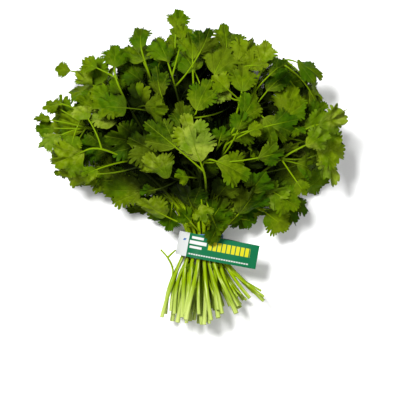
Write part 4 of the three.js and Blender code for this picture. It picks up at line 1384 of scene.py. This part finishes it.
# A thin stalk at the left below the label: how far along the bunch it leaves the outermost stem, its points
# after that one, and those of its fork.
STALK_FROM = -33
STALK = ((-28.5, -21, 22), (-33, -11, 24), (-39.5, -3.6, 23))
STALK_FORK = ((-33, -11, 24), (-29.5, -7.5, 25), (-25.7, -4, 27))
STALK_RADII = (1.05, 1.05 * 0.7)
# Small leaves among the stems: how far along the bunch and across it each starts, its heading and its length.
LOW_LEAVES = ((-12.5, -10, 190, 11), (-17, -14, 165, 9), (-12, 9, 170, 8))
LOW_YOUNG, LOW_RISE, LOW_PETIOLE, LOW_RADII = 0.55, 0.12, 2.5, (0.6, 0.3)
LOW_SINK, LOW_RIB = 0.4, 0.4  # how far one starts inside its stem, and how far its rib runs into its blade
OUTER_TO_TOP, NEAR_TO_TOP = 0.3, 2  # how much height weighs against being far left, and nearness against it
STALKS_PALE = 0.3


def stems_at(shoots, y):
    """Where each stem below the tie passes a place along the bunch."""
    runs = np.array([shoot.lower_run for shoot in shoots])
    return runs[np.arange(len(runs)), np.abs(runs[:, :, 1] - y).argmin(axis=1)]


def make_side_stalks(shoots, parts):
    """Thin stalks and small leaves on the stems below the label."""
    starts = stems_at(shoots, STALK_FROM)
    start = starts[(starts[:, 0] - OUTER_TO_TOP * starts[:, 2]).argmin()]
    stalks = [smooth_run(points) for points in ((start, *STALK), STALK_FORK)]
    runs = [(stalk, np.linspace(*STALK_RADII, len(stalk))) for stalk in stalks]
    leaves = []
    for number, (y, x, heading, size) in enumerate(LOW_LEAVES):
        at = stems_at(shoots, y)
        nearest = (np.abs(at[:, 0] - x) * NEAR_TO_TOP - at[:, 2]).argmin()
        base = at[nearest] + (NECK_RADIUS - LOW_SINK) * UP
        a = math.radians(heading)
        values = drawn(END_LEAF, number, PALE_KEY)
        along = unit(vec(math.sin(a), math.cos(a), LOW_RISE))
        leaf = make_leaf(base, along, UP, **values, size=size, petiole=LOW_PETIOLE, key=PALE_KEY + number)
        leaf.young = LOW_YOUNG
        leaves.append(leaf)
        s = np.linspace(0, leaf.petiole + LOW_RIB * size, 6)
        runs.append((leaf_points(leaf, s, 0 * s, RIB_SINK), np.linspace(*LOW_RADII, len(s))))
    finish_piece(leafy("coriander_side_stalks", runs, STALKS_PALE, leaves, SHOOT_COUNT, parts), "leaf_green")


# ---- The band and the label ---------------------------------------------------------------------


def way_along(line):
    """How far along a line of points each of them is."""
    return np.concatenate(((0,), np.cumsum(np.linalg.norm(np.diff(line, axis=0), axis=1))))


def hull_ring(discs, count):
    """Evenly spaced points of the loop pulled tight round discs, given as (x, z, radius)."""
    discs = np.array(discs)
    angles = np.linspace(0, 2 * math.pi, 4 * count, endpoint=False)
    ways = np.column_stack((np.cos(angles), np.sin(angles)))
    touched = (discs[:, :2] @ ways.T + discs[:, 2:]).argmax(axis=0)
    ring = discs[touched, :2] + discs[touched, 2:] * ways
    ring = np.vstack((ring, ring[:1]))
    run = way_along(ring)
    even = np.linspace(0, run[-1], count, endpoint=False)
    return np.column_stack([np.interp(even, run, ring[:, axis]) for axis in (0, 1)])


BAND_WRAPS, BAND_STEPS = 3, 96
BAND_WAVER = 0.18


def make_band(shoots, look):
    """The rubber band: wraps pulled tight round the stems, side by side."""
    discs = []
    for shoot in shoots:
        points = stem_samples(shoot)
        at = points[np.abs(points[:, 1] - BAND_AT).argmin()]
        discs.append((at[0], at[2], NECK_RADIUS + BAND_THICKNESS / 2 + 0.1))
    x, z = hull_ring(discs, BAND_STEPS).T
    turn = np.linspace(0, 2 * math.pi, BAND_STEPS, endpoint=False)
    pitch = (BAND_WIDTH - BAND_THICKNESS) / (BAND_WRAPS - 1)
    runs = []
    for wrap in range(BAND_WRAPS):
        y = BAND_AT + (wrap - (BAND_WRAPS - 1) / 2) * pitch + BAND_WAVER * np.sin(turn * 2 + wrap * 2.2)
        runs.append((np.column_stack((x, y, z)), np.full(BAND_STEPS, BAND_THICKNESS / 2)))
    finish_piece(tubes("rubber_wraps", runs, 3, rubber_finish(look), cyclic=True), "rubber", "band")


PAPER_SHOWN = 0.36


def strip_line():
    """The label strip's middle line across the bunch, from the flag's end over the neck and round it."""
    top = NECK_HEIGHT + LOOP_HALF_DEPTH + PAPER
    angles = np.radians(np.linspace(90, 360, 90))
    past = PAPER / 2
    x = LOOP_MIDDLE + (LOOP_HALF_WIDTH + past) * np.cos(angles)
    z = NECK_HEIGHT + (LOOP_HALF_DEPTH + PAPER + past) * np.sin(angles)
    loop = np.column_stack((x, np.clip(z, PAPER - past, top - PAPER + past)))
    ends = ((LOOP_JOIN, top - 1.5 * PAPER), (FLAG_END, top - 1.5 * PAPER))
    line = np.vstack(((FLAG_END, top - PAPER / 2), loop, *ends))
    return line, way_along(line)


STRIP_LENGTH = strip_line()[1][-1]
STRIP_STEPS, STRIP_ROWS = 150, 14
FLAT_TO, WAVED_TO = 6, 49  # the flag's waves and curl begin at the first x and are full at the second
# How high each of its waves is, as a share of the setting, and how long along the flag and across it.
FLAG_WAVES = ((0.5, 8.5, 14), (0.35, 4.1, -6))


def make_label(look):
    """The paper label, a strip whose two ends are stuck together as a flag."""
    grid = dict(x_subdivisions=STRIP_STEPS, y_subdivisions=STRIP_ROWS, size=1, calc_uvs=True)
    piece = added(bpy.ops.mesh.primitive_grid_add, "printed_label", **grid)
    mesh = piece.data
    u, v, _ = read(mesh.vertices, "co", 3).T + 0.5
    line, run = strip_line()
    x, z = (np.interp(u * run[-1], run, line[:, axis]) for axis in (0, 1))
    y = (v - 0.5) * LABEL_WIDTH
    out = np.clip((x - FLAT_TO) / (WAVED_TO - FLAT_TO), 0, 1)
    waves = sum(high * np.sin(x / along + y / across) for high, along, across in FLAG_WAVES)
    z = z + out * waves * look.waves / MM + look.curl / MM * out**3 * (y / LABEL_WIDTH + 0.2)
    cos, sin = math.cos(-math.radians(LABEL_TURN)), math.sin(-math.radians(LABEL_TURN))
    points = np.column_stack((x * cos - y * sin, x * sin + y * cos + LABEL_CENTRE_Y, z))
    write(mesh.vertices, "co", points * MM)
    solid = piece.modifiers.new("thickness", "SOLIDIFY")
    solid.thickness, solid.offset = PAPER_SHOWN * MM, 0
    bpy.ops.object.modifier_apply(modifier=solid.name)
    in_edit_mode(bpy.ops.mesh.normals_make_consistent, inside=False)
    bpy.ops.object.shade_smooth_by_angle(angle=math.radians(40))
    mesh.materials.append(label_finish(look))
    finish_piece(piece, "paper", "label")


# ---- The stage ----------------------------------------------------------------------------------

# In metres, but for the camera's sensor.
VIEW_CENTRE = (-0.0036, 0.0414, 0.04)
VIEW_WIDTH = 0.36
VIEW_DISTANCE = 1.6
SENSOR = 36
CLIP_END = 20
FLOOR_SIZE = 6
KEY_SIZE, FILL_SIZE = 0.45, 0.9
FILL_PLACE = (0.9, -0.5, 0.9)
LIT_PLACE = (0, 0.06, 0.04)


def aimed(thing, place, target):
    """Puts a thing at one place and points it at another."""
    thing.location = place
    thing.rotation_euler = (Vector(target) - Vector(place)).to_track_quat("-Z", "Y").to_euler()


def make_stage(look):
    """A pale floor, even light from all round, two large lamps and the camera."""
    floor = added(bpy.ops.mesh.primitive_plane_add, "floor", size=FLOOR_SIZE)
    finish = Finish("floor", Roughness=0.9, Specular_IOR_Level=0.1, Base_Color=(*look.floor, 1))
    floor.data.materials.append(finish.material)

    scene = bpy.context.scene
    scene.view_settings.view_transform = "Standard"
    scene.world = bpy.data.worlds.new("studio")
    scene.world.use_nodes = True
    sky = scene.world.node_tree.nodes["Background"]
    sky.inputs["Color"].default_value = (1, 1, 1, 1)
    sky.inputs["Strength"].default_value = look.sky

    lamps = (("key", look.key_place, KEY_SIZE, look.key), ("fill", FILL_PLACE, FILL_SIZE, look.fill))
    for name, place, size, power in lamps:
        light = added(bpy.ops.object.light_add, name, type="AREA")
        light.data.shape = "DISK"
        light.data.size, light.data.energy = size, power
        aimed(light, place, LIT_PLACE)

    camera = added(bpy.ops.object.camera_add, "camera")
    x, y, z = VIEW_CENTRE
    sin, cos = math.sin(look.tip), math.cos(look.tip)
    camera.location = (x, y - VIEW_DISTANCE * sin, z + VIEW_DISTANCE * cos)
    camera.rotation_euler = (look.tip, 0, 0)
    camera.data.sensor_width = SENSOR
    camera.data.lens = SENSOR * VIEW_DISTANCE / VIEW_WIDTH
    camera.data.clip_end = CLIP_END
    scene.camera = camera


# ---- What a user can set ------------------------------------------------------------------------


def colour(name, description, *rgb):
    return bpy.props.FloatVectorProperty(
        name=name, description=description, subtype="COLOR", size=3, min=0, max=1, default=srgb(*rgb)
    )


def number(name, description, default, high=1.0, **more):
    return bpy.props.FloatProperty(
        name=name, description=description, default=default, min=0, max=high, **more
    )


class BunchGreens(bpy.types.PropertyGroup):
    """The leaves' and stems' colours."""

    dark_leaf: colour("Old leaf", "The darkest leaves, seen from above", 30, 50, 1)
    leaf: colour("Leaf", "Most leaves", 63, 86, 1)
    bright_leaf: colour("Bright leaf", "Younger leaves", 96, 117, 4)
    # The palest young leaves, and a painted sheen on the brightest ones.
    pale_leaf_and_sheen: colour("Young leaf", "The palest leaves", 127, 143, 46)
    # Greyer patches, partly a painted sheen.
    dull_leaf_and_sheen: colour("Dull leaf", "Leaves with a greyer bloom", 90, 104, 14)
    cool_leaf: colour("Cool leaf", "Leaves of a purer green", 38, 84, 1)
    vein: colour("Vein", "Veins and the base of a blade", 122, 142, 30)
    underside: colour("Underside", "A blade's lower face", 88, 106, 36)
    # Painted shade on leaves and stems deep inside the head.
    painted_shade: colour("Deep leaf", "Leaves deep inside the head", 5, 9, 1)
    glow: colour("Light through", "Light that has come through a blade", 100, 130, 2)
    butt: colour("Cut end", "A stem at its cut end", 172, 185, 104)
    low_stem: colour("Lower stem", "A stem below the tie", 118, 143, 1)
    stem: colour("Stem", "A stem above the tie", 116, 140, 4)
    high_stem: colour("Upper stem", "A stem high in the head", 98, 124, 3)
    # Pale streaks, partly a painted highlight along the ridges.
    pale_streak_and_highlight: colour("Streak", "The pale streaks along a stem", 176, 187, 112)
    # Darker streaks, partly painted shade between the ridges.
    stem_shade: colour("Stem shade", "The darker streaks along a stem", 96, 122, 1)
    let_through: number("Let through", "Share of the light that crosses a blade", 0.18, subtype="FACTOR")
    ripple: number("Ripple", "How wavy a blade is, as a share of its length", 0.058)
    pleat: number("Pleat", "How deep a blade folds along its main veins, as a share of its length", 0.066)
    # How strong the painted shade deep inside the head is.
    depth: number("Depth", "How much darker leaves are deep inside the head", 0.95, subtype="FACTOR")
    patches: number("Patches", "How much dull and cool leaves differ from others", 0.4, subtype="FACTOR")


class BunchBand(bpy.types.PropertyGroup):
    """The rubber band's colours."""

    colour: colour("Rubber", "The band's colour", 58, 96, 168)
    worn: colour("Worn rubber", "Its paler, dusty spots", 96, 128, 186)


class BunchLabel(bpy.types.PropertyGroup):
    """The label's colours and shape."""

    paper: colour("Paper", "The printed ground", 0, 94, 56)
    paper_shade: colour("Uneven paper", "The ground where it is darker", 0, 74, 43)
    yellow: colour("Blocks", "The row of blocks", 174, 170, 20)
    white: colour("White", "The rules", 184, 185, 182)
    wrap: colour("Wrap", "The unprinted end round the left", 174, 176, 175)
    blue: colour("Dash", "The dash on the wrap", 40, 84, 140)
    waves: number("Waves", "How high the flag's waves are", 0.0005, high=0.002, unit="LENGTH")
    curl: number("Curl", "How far the flag's end curls up", 0.002, high=0.006, unit="LENGTH")


class BunchStage(bpy.types.PropertyGroup):
    """The floor, the lights and the camera."""

    floor: colour("Floor", "The floor's colour", 244, 244, 244)
    sky: number("Sky", "Strength of the even light from all round", 0.35, high=5)
    key: number("Key light", "Power of the main light", 44.0, high=1000, unit="POWER")
    fill: number("Fill light", "Power of the second light", 6.0, high=1000, unit="POWER")
    tip: number("Tip", "How far the camera is tipped from straight above", 0.0, high=1.5, subtype="ANGLE")
    key_place: bpy.props.FloatVectorProperty(
        name="Key light's place", description="Where the main light stands", size=3, unit="LENGTH",
        subtype="XYZ", default=(-0.48, 0.56, 1.45),
    )


# ---- Operators ----------------------------------------------------------------------------------


@cache
def plan():
    return grow_between(plan_of_shoots())


class GrowShoots(bpy.types.Operator):
    """Grow every shoot, a stem with its leaves"""

    bl_idname = "bunch.shoots"
    bl_label = "Shoots"

    def execute(self, context):
        look = context.scene.bunch_greens
        blank, places = blank_leaf(leaf_finish(look))
        parts = SimpleNamespace(look=look, blank=blank, places=places, stem=stem_finish(look))
        make_shoots(plan(), parts)
        make_side_stalks(plan(), parts)
        bpy.data.objects.remove(blank)
        return {"FINISHED"}


class TieBand(bpy.types.Operator):
    """Put the rubber band round the stems"""

    bl_idname = "bunch.band"
    bl_label = "Band"

    def execute(self, context):
        make_band(plan(), context.scene.bunch_band)
        return {"FINISHED"}


class WrapLabel(bpy.types.Operator):
    """Put the paper label round the neck"""

    bl_idname = "bunch.label"
    bl_label = "Label"

    def execute(self, context):
        make_label(context.scene.bunch_label)
        return {"FINISHED"}


class SetStage(bpy.types.Operator):
    """Set up the floor, the lights and the camera"""

    bl_idname = "bunch.stage"
    bl_label = "Stage"

    def execute(self, context):
        make_stage(context.scene.bunch_stage)
        return {"FINISHED"}


OPERATORS = (GrowShoots, TieBand, WrapLabel, SetStage)
GROUPS = {
    "bunch_greens": BunchGreens,
    "bunch_band": BunchBand,
    "bunch_label": BunchLabel,
    "bunch_stage": BunchStage,
}


class BunchPanel(bpy.types.Panel):
    """The bunch's operators and settings"""

    bl_idname = "VIEW3D_PT_bunch"
    bl_label = "Coriander bunch"
    bl_space_type = "VIEW_3D"
    bl_region_type = "UI"
    bl_category = "Bunch"

    def draw(self, context):
        for operator in OPERATORS:
            self.layout.operator(operator.bl_idname)
        for name, group in GROUPS.items():
            box = self.layout.box()
            for prop in group.__annotations__:
                box.prop(getattr(context.scene, name), prop)


CLASSES = (*GROUPS.values(), *OPERATORS, BunchPanel)


def register():
    for cls in CLASSES:
        bpy.utils.register_class(cls)
    for name, group in GROUPS.items():
        setattr(bpy.types.Scene, name, bpy.props.PointerProperty(type=group))


def unregister():
    for name in GROUPS:
        delattr(bpy.types.Scene, name)
    for cls in reversed(CLASSES):
        bpy.utils.unregister_class(cls)


def main():
    register()
    for operator in OPERATORS:
        group, name = operator.bl_idname.split(".")
        getattr(getattr(bpy.ops, group), name)()


if __name__ == "__main__":
    main()
